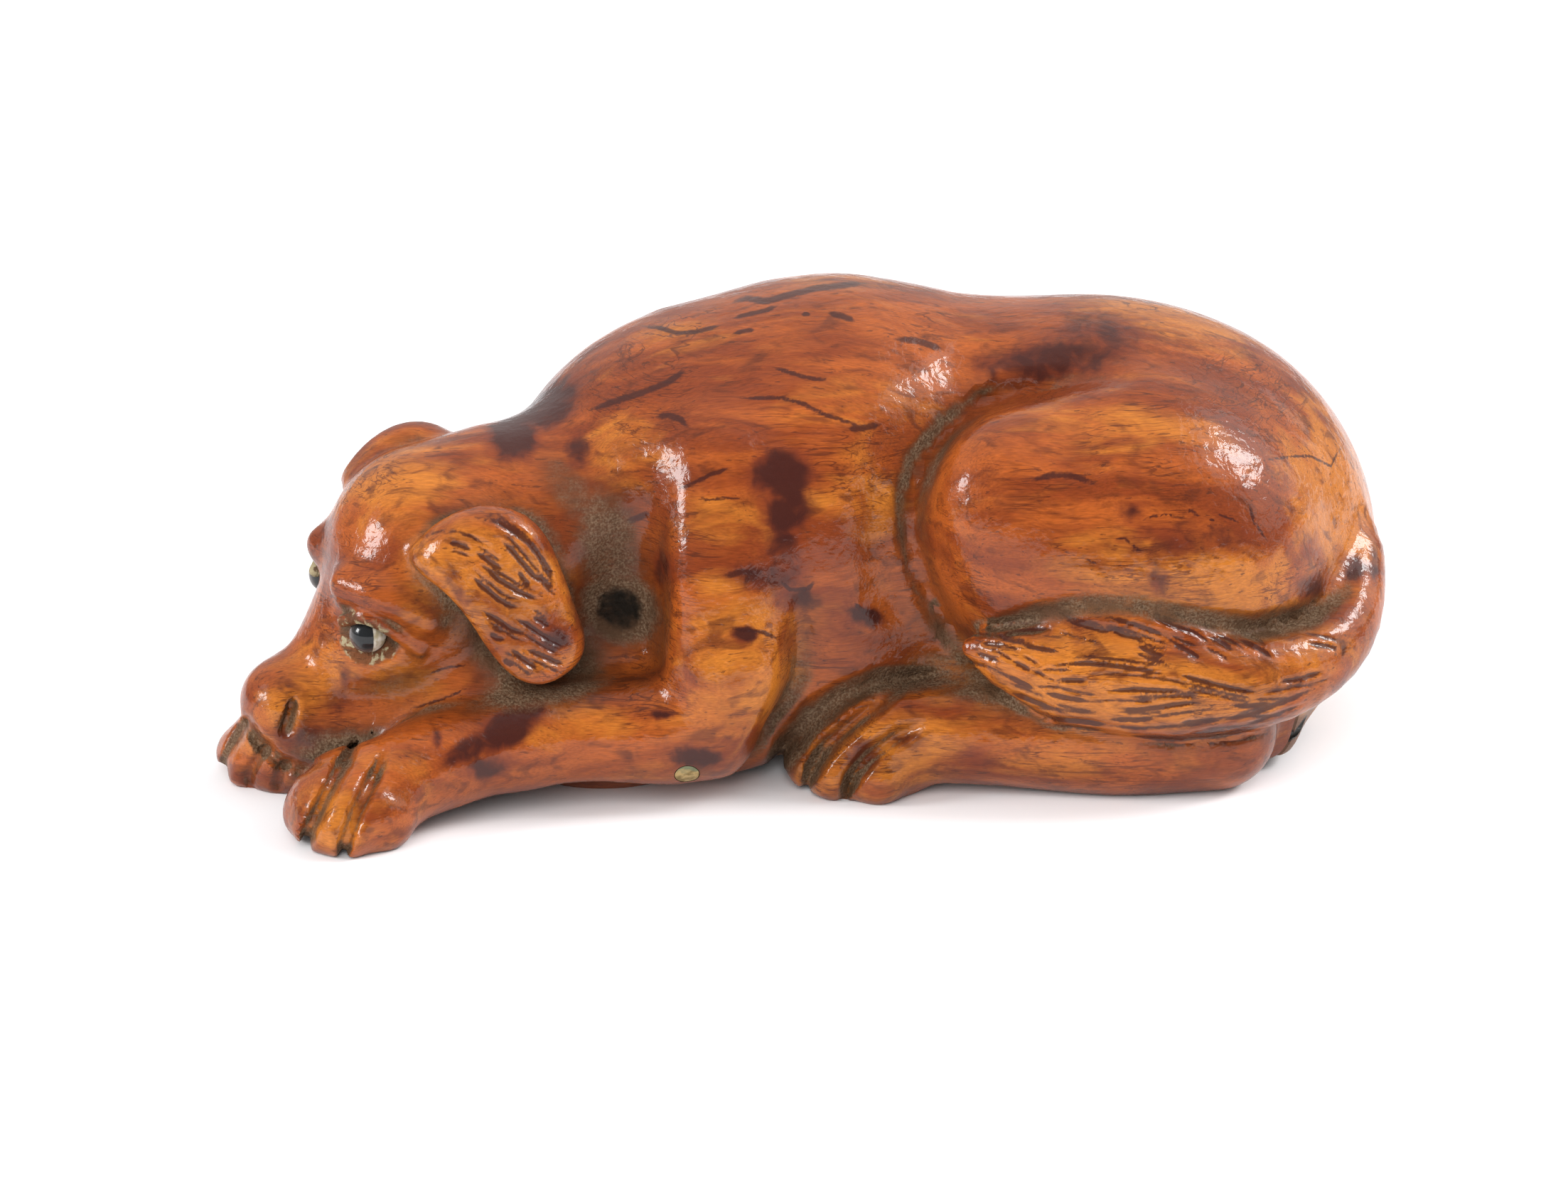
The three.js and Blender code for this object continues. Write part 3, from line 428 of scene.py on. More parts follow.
tail = limb([
    (40.6, -3, 20.4, 1.5), (41.6, -6.6, 15.6, 2.8), (40, -12.2, 11.6, 3.3), (35.2, -16.4, 10, 3.9),
    (28, -17.8, 10, 4.7), (21, -17.4, 10.8, 4.6), (16, -17.6, 11.8, 2.8), (12.8, -17.8, 12.4, 0.8),
], 28)
near_crease = limb([
    (21, -10, 32.6, 1.4), (12.4, -15, 29, 2.2), (7, -18, 23.4, 2.6),
    (7.6, -18.6, 15.4, 2.8), (10, -16.6, 8, 2.6),
], 18)
far_crease = limb([(20, 12.4, 30.4, 1.2), (12.6, 16, 27.4, 1.8), (7.6, 18, 22, 2.2), (8, 18.4, 14, 2.4)])
# The groove round the front of the thigh, steep on the thigh's side and easy on the flank's
THIGH_EDGE = [
    (1580, 534), (1490, 540), (1430, 550), (1380, 568), (1335, 604), (1296, 650), (1280, 700),
    (1282, 760), (1300, 820), (1330, 870), (1366, 920), (1410, 980), (1440, 1040),
]
BESIDE_THIGH = [(x - 22, y - 6) for x, y in THIGH_EDGE]
TAIL_TOP = [
    (1376, 892), (1420, 876), (1460, 864), (1530, 850), (1600, 852), (1680, 868), (1760, 884),
    (1840, 872), (1890, 836), (1912, 800),
]
ELBOW_EDGE = [[(0.2, 17), (-0.1, 13), (-0.7, 9.6), (-2.4, 6), (-4.4, 2)]]

dog = sculpt(
    ("add", trunk, 1),
    ("cut", near_crease, 3.5),
    ("cut", far_crease, 3.5),
    ("add", near_arm, 3),
    ("cut", limb([
        (-11.4, -16.4, 26.5, 0.8), (-12.4, -16.8, 20.5, 2),
        (-13.4, -17, 15.4, 3.4), (-14.6, -17, 11, 3.6),
    ]), 2.4),
    ("add", placed(head, HEAD_AT, HEAD_BASIS), 1.4),
    ("add", blob((-15, -10.5, 5), (9, 7, 6.6)), 2),
    ("add", near_forearm, 1.2),
    ("add", near_forepaw, 0.8),
    ("add", far_foreleg, 2.6),
    ("add", far_thigh, 1.6),
    ("add", near_thigh, 1),
    ("press", gouge([THIGH_EDGE], 1.5, 1, (4, -30, 3), (30, 0, 40)), 0),
    ("press", gouge([BESIDE_THIGH], 4.6, 0.8, (0, -30, 3), (30, 0, 40)), 0),
    ("add", far_hind_foot, 1.5),
    ("add", near_hind_foot, 1),
    ("press", gouge(NEAR_PAW_GROOVES, 1, 0.9, (-45, -40, 0), (-25, -19, 8)), 0),
    ("press", gouge(FAR_PAW_GROOVES, 0.7, 0.4, (-50, -22, 0), (-32, -5, 9)), 0),
    ("press", gouge([UNDER_CHIN], 0.8, 0.5, (-50, -26, 0), (-28, -8, 9)), 0),
    ("press", gouge(HIND_PAW_GROOVES, 1.1, 1, (-4, -26, 0), (16, -9, 12)), 0),
    ("press", gouge([HIND_FOOT_TOP], 1.5, 0.9, (-4, -26, 0), (24, -8, 14)), 0),
    ("add", tail, 0.6),
    ("press", gouge([TAIL_TOP], 1.5, 0.7, (14, -30, 4), (46, -2, 30)), 0),
    ("press", chisel(ELBOW_EDGE, 1.8, 0.6, from_near), 0),
)


# Meshing: a surface net over the distances, refined where the carving is fine

CHUNK = 12000
BAND_MARGIN = 0.6


def measure(field, points):
    """The field at many points, in chunks on all cores."""
    chunks = np.array_split(points, max(1, len(points) // CHUNK))
    with ThreadPoolExecutor() as pool:
        return np.concatenate(list(pool.map(field, chunks)))


def grid_points(low, shape, step):
    axes = [low[i] + step * np.arange(shape[i]) for i in range(3)]
    return np.stack(np.meshgrid(*axes, indexing="ij"), -1).reshape(-1, 3)


def pairs_along(grid, axis):
    """The grid without its last layer along an axis, and without its first."""
    first, second = [slice(None)] * 3, [slice(None)] * 3
    first[axis], second[axis] = slice(None, -1), slice(1, None)
    return grid[tuple(first)], grid[tuple(second)]


def fill_between(coarse):
    """Doubles a grid's resolution by taking the middle of each pair."""
    for axis in range(3):
        fine = np.repeat(coarse, 2, axis=axis)
        fine = np.take(fine, range(fine.shape[axis] - 1), axis=axis)
        odd = [slice(None)] * 3
        odd[axis] = slice(1, None, 2)
        before, after = pairs_along(coarse, axis)
        fine[tuple(odd)] = (before + after) / 2
        coarse = fine
    return coarse


def surface_net(field, low, high, step):
    """Vertices and quads of the field's zero surface, one vertex to each grid cell it crosses."""
    low = np.array(low, float)
    coarse_shape = [math.ceil((high[i] - low[i]) / (2 * step)) + 1 for i in range(3)]
    coarse = measure(field, grid_points(low, coarse_shape, 2 * step)).reshape(coarse_shape)
    values = fill_between(coarse)
    band = np.abs(values) < 2 * step + BAND_MARGIN
    points = grid_points(low, values.shape, step)
    values[band] = measure(field, points[band.ravel()])
    cells = np.array(values.shape)
    total = np.zeros((cells.prod(), 3))
    count = np.zeros(cells.prod())
    quads = []
    for axis in range(3):
        b, c = (axis + 1) % 3, (axis + 2) % 3
        start, end = pairs_along(values, axis)
        crossed = np.argwhere((start < 0) != (end < 0))
        v0, v1 = start[tuple(crossed.T)], end[tuple(crossed.T)]
        place = crossed.astype(float)
        place[:, axis] += v0 / (v0 - v1)
        around = []
        for db, dc in ((1, 1), (0, 1), (0, 0), (1, 0)):
            cell = crossed.copy()
            cell[:, b] -= db
            cell[:, c] -= dc
            flat = np.ravel_multi_index(cell.T, values.shape)
            around.append(flat)
            for k in range(3):
                total[:, k] += np.bincount(flat, place[:, k], len(total))
            count += np.bincount(flat, minlength=len(count))
        ring = np.stack(around, 1)
        ring[v0 > 0] = ring[v0 > 0][:, ::-1]
        quads.append(ring)
    used = np.flatnonzero(count)
    number = np.full(len(count), -1)
    number[used] = np.arange(len(used))
    vertices = low + step * total[used] / count[used, None]
    return vertices, number[np.concatenate(quads)]


def to_triangles(vertices, quads):
    """Cuts each quad along its shorter diagonal."""
    a, b, c, d = vertices[quads.T]
    short = (((a - c) ** 2).sum(1) <= ((b - d) ** 2).sum(1))[:, None]
    one = np.where(short, quads[:, [0, 1, 2]], quads[:, [0, 1, 3]])
    two = np.where(short, quads[:, [0, 2, 3]], quads[:, [1, 2, 3]])
    return np.concatenate([one, two])


def edges_of(triangles, count):
    sides = np.sort(np.concatenate([triangles[:, [0, 1]], triangles[:, [1, 2]], triangles[:, [2, 0]]]), 1)
    codes, side_edge = np.unique(sides[:, 0].astype(np.int64) * count + sides[:, 1], return_inverse=True)
    return np.stack([codes // count, codes % count], 1), side_edge.reshape(3, -1).T


def split_long_edges(vertices, triangles, wanted):
    edges, side_edge = edges_of(triangles, len(vertices))
    ends = vertices[edges]
    middle = ends.mean(1)
    split = np.linalg.norm(ends[:, 0] - ends[:, 1], axis=1) > wanted(middle)
    number = np.full(len(edges), -1)
    number[split] = len(vertices) + np.arange(split.sum())
    mids = number[side_edge]
    cuts = (mids >= 0).sum(1)
    kept = [triangles[cuts == 0]]

    def rolled(chosen, first):
        order = (first[:, None] + np.arange(3)) % 3
        rows = np.arange(len(order))[:, None]
        return triangles[chosen][rows, order].T, mids[chosen][rows, order].T

    one = cuts == 1
    (a, b, c), (m, _, _) = rolled(one, np.argmax(mids[one] >= 0, 1))
    kept += [np.stack([a, m, c], 1), np.stack([m, b, c], 1)]
    two = cuts == 2
    (a, b, c), (m, n, _) = rolled(two, np.argmax(mids[two] < 0, 1) + 1)
    kept += [np.stack([m, b, n], 1), np.stack([a, m, n], 1), np.stack([a, n, c], 1)]
    three = cuts == 3
    a, b, c = triangles[three].T
    m, n, o = mids[three].T
    kept += [np.stack(t, 1) for t in ((a, m, o), (m, b, n), (o, n, c), (m, n, o))]
    return np.concatenate([vertices, middle[split]]), np.concatenate(kept)


def relax(vertices, triangles):
    """Moves each vertex towards the middle of its neighbours."""
    edges, _ = edges_of(triangles, len(vertices))
    a, b = np.concatenate([edges, edges[:, ::-1]]).T
    count = np.bincount(a, minlength=len(vertices))
    middle = [np.bincount(a, vertices[b, k], len(vertices)) / count for k in range(3)]
    return (vertices + np.stack(middle, 1)) / 2


def slope_of(field, vertices, step=0.04):
    here = measure(field, vertices)
    shifted = [measure(field, vertices + step * np.eye(3)[k]) for k in range(3)]
    return here, (np.stack(shifted, 1) - here[:, None]) / step


def settle(field, vertices, rounds=2):
    """Moves the vertices onto the field's zero surface."""
    for _ in range(rounds):
        here, slope = slope_of(field, vertices)
        move = here[:, None] * slope / np.maximum((slope**2).sum(1), 0.2)[:, None]
        size = np.linalg.norm(move, axis=1)[:, None]
        vertices = vertices - move * np.minimum(1, 0.4 / np.maximum(size, 1e-9))
    return vertices


def carved_surface(field, low, high, step, wanted, rounds):
    """A closed triangle mesh of the field, with edges shorter than wanted(place) where asked."""
    vertices, quads = surface_net(field, low, high, step)
    vertices = settle(field, vertices)
    triangles = to_triangles(vertices, quads)
    for _ in range(rounds):
        vertices, triangles = split_long_edges(vertices, triangles, wanted)
        vertices = settle(field, relax(vertices, triangles), 1)
    return settle(field, vertices, 1), triangles


def in_head(p):
    return (p - HEAD_AT) @ HEAD_BASIS


def from_head(place):
    return np.array(HEAD_AT) + HEAD_BASIS @ np.array(place, float)


# What is drawn on the wood, placed by the photograph's pixels

EAR_STROKES = [
    [(665, 727), (700, 734), (722, 748), (744, 764), (757, 780), (767, 795), (778, 810)],
    [(632, 765), (640, 765), (650, 768), (662, 774)],
    [(670, 778), (682, 785), (694, 794), (706, 801)],
    [(708, 764), (718, 772), (728, 784), (740, 798), (750, 810), (762, 820)],
    [(678, 796), (690, 804), (702, 816), (716, 824), (728, 832), (744, 839), (758, 844)],
    [(666, 812), (676, 823), (688, 832), (702, 844), (716, 852), (730, 855)],
    [(730, 804), (736, 814), (746, 826)],
    [(680, 860), (692, 868), (706, 876), (720, 886), (740, 894)],
    [(726, 871), (740, 878), (754, 888), (770, 898), (782, 904), (792, 909)],
    [(750, 868), (762, 874), (772, 882)],
    [(690, 890), (698, 898), (710, 900)],
    [(720, 914), (730, 923), (742, 932), (756, 942)],
    [(740, 914), (754, 919), (770, 926), (782, 932), (794, 933)],
    [(756, 808), (766, 818), (778, 828)],
    [(708, 928), (722, 936)],
    [(758, 784), (768, 796), (776, 810)],
]
FINE_EAR_LINES = [[(586, 764), (602, 752), (624, 748), (646, 750), (662, 754), (678, 764), (690, 770)]]
TAIL_STROKES = [
    [(1382, 905), (1412, 908)],
    [(1372, 918), (1390, 925), (1405, 930)],
    [(1410, 893), (1440, 888), (1478, 884)],
    [(1440, 908), (1460, 912), (1490, 917)],
    [(1425, 930), (1440, 938), (1450, 944)],
    [(1415, 950), (1435, 960), (1455, 970)],
    [(1425, 975), (1450, 985), (1480, 997)],
    [(1470, 975), (1500, 982), (1535, 988)],
    [(1487, 935), (1530, 933), (1570, 937), (1610, 943), (1640, 950)],
    [(1487, 957), (1530, 958)],
    [(1555, 973), (1600, 970), (1640, 972), (1665, 972)],
    [(1570, 1003), (1610, 998), (1650, 992), (1690, 988)],
    [(1560, 1012), (1600, 1013), (1625, 1010)],
    [(1470, 1010), (1520, 1015), (1560, 1020)],
    [(1500, 873), (1540, 884), (1560, 890)],
    [(1555, 880), (1580, 893), (1610, 900)],
    [(1600, 908), (1620, 918), (1640, 925)],
    [(1650, 905), (1670, 915), (1690, 928)],
    [(1660, 950), (1690, 958), (1730, 968), (1770, 975)],
    [(1745, 900), (1770, 912), (1790, 925)],
    [(1700, 895), (1720, 905), (1735, 915)],
    [(1730, 993), (1760, 993), (1790, 990)],
    [(1660, 1018), (1690, 1015), (1720, 1012)],
    [(1720, 1013), (1760, 1005), (1800, 990), (1840, 975)],
    [(1800, 960), (1830, 955), (1860, 945)],
    [(1840, 905), (1870, 910), (1895, 917)],
    [(1590, 1035), (1650, 1040), (1720, 1035), (1780, 1020)],
    [(1620, 865), (1650, 880), (1690, 893)],
    [(1560, 868), (1600, 880), (1640, 895)],
]
# Dark streaks in the wood of the back and the thigh, by half width
STREAKS = {
    6: [
        [(828, 578), (850, 570), (880, 560), (905, 552), (935, 540), (955, 528), (965, 515)],
        [(1028, 425), (1050, 420), (1080, 424), (1110, 415), (1150, 405), (1200, 400), (1222, 398)],
        [(1255, 476), (1290, 480), (1310, 486), (1328, 493)],
        [(1165, 440), (1185, 445), (1203, 452)],
        [(920, 588), (940, 584), (958, 590), (968, 602)],
        [(1450, 677), (1480, 668), (1510, 670), (1545, 682)],
        [(1190, 604), (1215, 602), (1240, 597)],
        [(1015, 812), (1045, 804), (1060, 806)],
        [(880, 735), (900, 728), (915, 720)],
    ],
    4: [
        [(950, 690), (975, 680), (1000, 668), (1030, 657)],
        [(1085, 517), (1105, 522), (1130, 530), (1150, 534), (1168, 533)],
        [(900, 458), (930, 462), (950, 468), (975, 468), (1000, 462), (1015, 457)],
        [(1030, 470), (1050, 465), (1062, 464)],
        [(1030, 448), (1050, 443), (1080, 436), (1095, 430)],
        [(1128, 442), (1140, 442)],
        [(1040, 560), (1060, 560), (1100, 560), (1130, 568), (1160, 583), (1190, 593), (1215, 600)],
        [(1025, 883), (1050, 887), (1075, 890), (1100, 902)],
        [(1095, 815), (1112, 830), (1138, 828), (1146, 818)],
        [(1200, 848), (1215, 860), (1235, 862)],
    ],
    2.6: [
        [(1607, 733), (1620, 727), (1640, 724), (1660, 727), (1670, 730)],
        [(1668, 715), (1680, 722), (1690, 728)],
        [(1700, 730), (1710, 733)],
        [(1712, 722), (1725, 728), (1745, 735)],
        [(1757, 703), (1760, 720), (1765, 735), (1775, 750), (1785, 765)],
        [(1560, 757), (1580, 757), (1590, 763), (1600, 773), (1608, 778)],
        [(1525, 785), (1535, 790), (1545, 793)],
        [
            (1765, 650), (1790, 646), (1820, 642), (1845, 642),
            (1855, 648), (1872, 656), (1880, 640), (1893, 622),
        ],
        [(980, 704), (1010, 702), (1050, 700)],
        [(570, 1000), (620, 985), (665, 965)],
        [(600, 950), (625, 940), (660, 935)],
    ],
}
# Dark and golden areas: middle, half width, half height, turn in degrees, strength
DARK_AREAS = [
    (1100, 666, 40, 34, 0, 1), (1106, 712, 32, 34, 0, 0.85), (1102, 765, 26, 34, 0, 0.6),
    (1080, 812, 60, 18, 4, 0.7), (1125, 842, 36, 18, 10, 0.6), (1550, 468, 66, 32, 0, 0.55),
    (1480, 508, 112, 30, -8, 0.72), (722, 612, 34, 34, 0, 1), (768, 572, 52, 30, -38, 0.85),
    (812, 632, 20, 26, 0, 0.5), (716, 1024, 52, 24, -34, 1), (664, 1052, 44, 16, -28, 0.8),
    (690, 1078, 40, 18, -14, 0.65), (1660, 762, 70, 30, 0, 0.45), (1592, 716, 18, 16, 0, 0.5),
    (1630, 812, 14, 36, 0, 0.45), (1730, 760, 44, 22, 0, 0.4), (1845, 822, 22, 18, 0, 0.7),
    (1905, 800, 14, 22, 0, 0.8), (1932, 796, 8, 30, 0, 0.6), (1048, 892, 18, 10, 0, 1),
    (1218, 868, 26, 14, 10, 0.9), (470, 985, 22, 26, 0, 0.4), (486, 955, 8, 18, 0, 0.5),
    (980, 1066, 38, 13, 4, 1), (1215, 1065, 22, 26, -40, 0.6), (930, 1004, 16, 7, 0, 0.9),
    (436, 1038, 22, 18, 0, 0.5), (720, 880, 60, 70, -20, 0.33), (1020, 1040, 10, 8, 0, 0.5),
    (1280, 1045, 26, 16, 0, 0.5), (404, 1036, 22, 12, 20, 0.5), (932, 800, 14, 22, 0, 0.6),
    (782, 902, 26, 22, 0, 0.6), (640, 820, 12, 40, -20, 0.45), (615, 1040, 7, 16, 0, 0.6),
    (1380, 1065, 24, 20, 0, 0.3),
]
# Golden areas of the wood's own tone; those on the top of the head, the cheek and the rump's right edge
# are painted light
GOLD_AND_LIT_AREAS = [
    (690, 820, 110, 90, 30, 1), (620, 790, 50, 40, 0, 1), (750, 925, 60, 30, 0, 0.8),
    (1560, 965, 240, 70, 3, 1), (1420, 930, 60, 40, 0, 1), (1730, 985, 120, 40, -8, 0.8),
    (470, 1160, 40, 50, 0, 1), (1180, 1080, 90, 40, -30, 1), (1210, 700, 70, 60, 0, 0.7),
    (1230, 560, 110, 40, -8, 0.4), (1040, 900, 90, 90, 0, 0.8), (1085, 960, 40, 60, 30, 1),
    (880, 630, 60, 50, 0, 0.7), (1010, 740, 60, 50, 0, 0.7), (1700, 830, 170, 50, 0, 1),
    (1560, 790, 90, 40, 0, 0.7), (1560, 600, 160, 40, 0, 0.5), (790, 1020, 90, 30, 0, 0.8),
    (1000, 1000, 90, 50, 0, 0.5), (505, 1110, 120, 90, 0, 0.3), (1240, 1060, 130, 60, 0, 0.8),
    (1500, 1060, 180, 40, 0, 0.5), (400, 990, 40, 40, 0, 0.8), (585, 870, 36, 24, 30, 0.8),
    (960, 480, 60, 30, 0, 0.5), (640, 640, 80, 30, 0, 0.4), (1850, 900, 80, 60, 0, 0.6),
    (350, 1040, 50, 60, 0, 0.5), (560, 680, 80, 50, -20, 1), (1880, 690, 60, 130, -15, 1.1),
    (560, 955, 50, 40, 0, 1), (450, 960, 60, 60, 0, 0.7), (1650, 440, 160, 40, 12, 0.9),
    (1160, 380, 200, 24, 0, 0.8),
]
# Hollows too deep for any light, where the wood is painted with shade, dark to black
SHADED_HOLLOWS = [(872, 856, 58, 50, 24, 1), (856, 770, 56, 104, -8, 0.62), (800, 690, 70, 36, 55, 0.5)]


# Blender meshes from the carving, still in millimetres

def linked(name, data):
    made = bpy.data.objects.new(name, data)
    bpy.context.scene.collection.objects.link(made)
    return made


def object_from(name, vertices, faces):
    mesh = bpy.data.meshes.new(name)
    mesh.from_pydata(vertices, [], faces)
    mesh.validate()
    return linked(name, mesh)


def object_from_bmesh(name, shape):
    mesh = bpy.data.meshes.new(name)
    shape.to_mesh(mesh)
    shape.free()
    return linked(name, mesh)


def box_tool(low, high):
    shape = bmesh.new()
    low, high = Vector(low), Vector(high)
    place = Matrix.Translation((low + high) / 2) @ Matrix.Diagonal((*(high - low), 1))
    bmesh.ops.create_cube(shape, size=1, matrix=place)
    return object_from_bmesh("box_tool", shape)


def rod_tool(radius, half_length, at, sides=48):
    """A rod along y."""
    shape = bmesh.new()
    place = Matrix.Translation(at) @ Matrix.Rotation(math.pi / 2, 4, "X")
    bmesh.ops.create_cone(
        shape, cap_ends=True, segments=sides, radius1=radius, radius2=radius,
        depth=2 * half_length, matrix=place,
    )
    return object_from_bmesh("rod_tool", shape)


def plate_tool(x0, x1, half_width, corner, z0, z1, arc_steps=10):
    """A level plate with its two rear corners rounded."""
    outline = [(x0, half_width), (x0, -half_width)]
    for side in (-1, 1):
        for i in range(arc_steps + 1):
            t = i / arc_steps if side < 0 else 1 - i / arc_steps
            x = x1 - corner * (1 - t) ** 2
            outline.append((x, side * (half_width - corner * t**2)))
    shape = bmesh.new()
    face = shape.faces.new([shape.verts.new((x, y, z0)) for x, y in outline])
    raised = bmesh.ops.extrude_face_region(shape, geom=[face])["geom"]
    upper = [part for part in raised if isinstance(part, bmesh.types.BMVert)]
    bmesh.ops.translate(shape, vec=(0, 0, z1 - z0), verts=upper)
    bmesh.ops.recalc_face_normals(shape, faces=shape.faces)
    return object_from_bmesh("plate_tool", shape)


def ball_tool(centre, radius, segments=64):
    shape = bmesh.new()
    place = Matrix.Translation(centre)
    bmesh.ops.create_uvsphere(
        shape, u_segments=segments, v_segments=segments // 2, radius=radius, matrix=place,
    )
    return object_from_bmesh("ball_tool", shape)


def capsule_tool(radius, start, end):
    """A short round-ended cutter from one point to the other."""
    start, run = Vector(start), Vector(end) - Vector(start)
    shape = bmesh.new()
    bmesh.ops.create_uvsphere(shape, u_segments=24, v_segments=16, radius=radius)
    for vertex in shape.verts:
        vertex.co.z += run.length if vertex.co.z > 1e-6 else 0
    turn = run.to_track_quat("Z", "Y").to_matrix().to_4x4()
    bmesh.ops.transform(shape, matrix=Matrix.Translation(start) @ turn, verts=shape.verts)
    return object_from_bmesh("capsule_tool", shape)


def combine(piece, operation, *tools):
    """Joins or cuts a piece with tools, which are used up."""
    for tool in tools:
        step = piece.modifiers.new(operation, "BOOLEAN")
        step.operation = operation
        step.solver = "MANIFOLD"
        step.object = tool
        mesh = bpy.data.meshes.new_from_object(piece.evaluated_get(bpy.context.evaluated_depsgraph_get()))
        piece.modifiers.remove(step)
        piece.data = mesh
        bpy.data.objects.remove(tool)
    return piece


def triples(items, name):
    """One property with three numbers of all vertices, normals or faces, as an array."""
    flat = np.empty(len(items) * 3, np.float32)
    items.foreach_get(name, flat)
    return flat.reshape(-1, 3).astype(float)


def vertices_of(piece):
    return triples(piece.data.vertices, "co")


def normals_of(piece):
    return triples(piece.data.vertex_normals, "vector")


def move_vertices(piece, vertices):
    piece.data.vertices.foreach_set("co", vertices.astype(np.float32).ravel())
    piece.data.update()


def paint(piece, name, values):
    """Stores one number for each vertex, for the materials to read."""
    attribute = piece.data.attributes.new(name, "FLOAT", "POINT")
    attribute.data.foreach_set("value", values.astype(np.float32))


def into_frame(piece, name, sharp_degrees=38):
    """Brings a finished piece from the carver's millimetres into the shared frame, in metres."""
    piece.data.transform(Matrix.Scale(0.001, 4) @ Matrix.Translation(SHIFT))
    piece.data.shade_smooth()
    piece.data.set_sharp_from_angle(angle=math.radians(sharp_degrees))
    piece.name = name
    piece.data.name = name
    return piece


# The fine surface of the whole carving

SOLE_STOCK = 1
CARVING_BOX = ((-48, -36, -3), (50, 24, 40))
CAVITY_BOX = ((-8, -14, 2), (40, 14, 34))
CAVITY_FLOOR = LID["top"] - 0.6
STROKE_DEPTH = 0.16
LIGHT_STROKE_DEPTH = 0.12
INSIDE_BY = 0.12
BELOW_GROUND = ((-80, -80, -20), (80, 80, 0))
EAR_MIDDLE = from_head((-10.4, 10.4, 4.2))
TAIL_BAND = {"x": (11, 40), "z": (5, 16)}
LONGEST_EDGE = {
    "flank": 1.3, "foreparts": 0.62, "face": 0.45, "eye": 0.3, "streak": 0.34,
    "toe": 0.42, "tail": 0.3, "ear": 0.24,
}


def wanted_edge(p):
    """How long an edge may be: short on the ear, tail, paws and face, long on the flanks."""
    length = np.full(len(p), LONGEST_EDGE["flank"])
    x, y, z = p.T
    head_place = in_head(p)
    face = (head_place[:, 0] > -9) & (head_place[:, 2] < 6) & (z > 1)
    length[(x < -22) & (z > 0.5)] = LONGEST_EDGE["foreparts"]
    length[face & (x < -20)] = LONGEST_EDGE["face"]
    eyes = np.min([np.linalg.norm(head_place - place, axis=1) for place in EYES.values()], axis=0)
    length[eyes < 3.2] = LONGEST_EDGE["eye"]
    px, py = as_photographed(p)
    near_side = (y < 6) & (z > 8)
    for half_width, lines in STREAKS.items():
        close = line_distance(px[near_side], py[near_side], lines) < half_width + 8
        length[np.flatnonzero(near_side)[close]] = LONGEST_EDGE["streak"]
    length[(y < -9.5) & (x > -3) & (x < 12) & (z < 10)] = LONGEST_EDGE["toe"]
    length[(x < -29) & (z > 0.3) & (z < 8)] = LONGEST_EDGE["toe"]
    in_tail_band = (x > TAIL_BAND["x"][0]) & (x < TAIL_BAND["x"][1]) & (z > TAIL_BAND["z"][0])
    length[in_tail_band & (z < TAIL_BAND["z"][1]) & (y < -16.5)] = LONGEST_EDGE["tail"]
    on_ear = (np.linalg.norm(p - EAR_MIDDLE, axis=1) < 9.5) & (head_place[:, 1] > 9.3)
    length[on_ear] = LONGEST_EDGE["ear"]
    return length


def stock(p):
    return np.maximum(dog(p), -SOLE_STOCK - p[:, 2])


def hollow(p):
    """The cavity: the trunk less its wall, narrowed to a straight mouth above the lid."""
    middle = (MOUTH["front"] + MOUTH["rear"]) / 2
    half_length = (MOUTH["rear"] - MOUTH["front"]) / 2
    half = (half_length, MOUTH["half_width"], MOUTH["half_height"])
    mouth = block((middle, 0, 0), half, MOUTH["corner"])
    narrowed = carve(trunk(p) + WALL, -mouth(p * (1, 1, 0)), MOUTH["soft"])
    return np.maximum(narrowed, CAVITY_FLOOR - p[:, 2])


# What the wood shows, stored on the vertices

def facing_camera(p, normals):
    return (normals @ AWAY < 0.15) & (p[:, 1] < 0)


def area_strength(px, py, areas):
    """The strongest area at each pixel: its full strength at the middle, easing out past its edge."""
    best = np.zeros(len(px))
    for at_x, at_y, half_x, half_y, turn, strength in areas:
        angle = math.radians(turn)
        u = (px - at_x) * math.cos(angle) + (py - at_y) * math.sin(angle)
        v = (py - at_y) * math.cos(angle) - (px - at_x) * math.sin(angle)
        inside = 1.5 - np.sqrt((u / half_x) ** 2 + (v / half_y) ** 2)
        best = np.maximum(best, strength * np.clip(inside, 0, 1))
    return best


def line_strength(px, py, lines, half_width):
    return np.sqrt(tool_mark(px, py, lines, 1.7 * half_width))


def strokes_between(lines, across, down, seed):
    """Copies of drawn strokes, each moved a random way across and a set way up or down."""
    rng = np.random.default_rng(seed)
    beside = []
    for line in lines:
        shift = rng.uniform(-1, 1, 2) * (across, 0) + (0, rng.choice((-1, 1)) * down)
        beside.append([(x + shift[0], y + shift[1]) for x, y in line])
    return beside


def shelter(p, normals, reach):
    """0 in the open, towards 1 in a groove narrower than the reach."""
    return np.clip(1 - measure(dog, p + normals * reach) / reach, 0, 1)


LIGHT_EAR_STROKES = strokes_between(EAR_STROKES, 6, 11, 3)
LIGHT_TAIL_STROKES = strokes_between(TAIL_STROKES, 36, 9, 5) + strokes_between(TAIL_STROKES, 50, 15, 8)


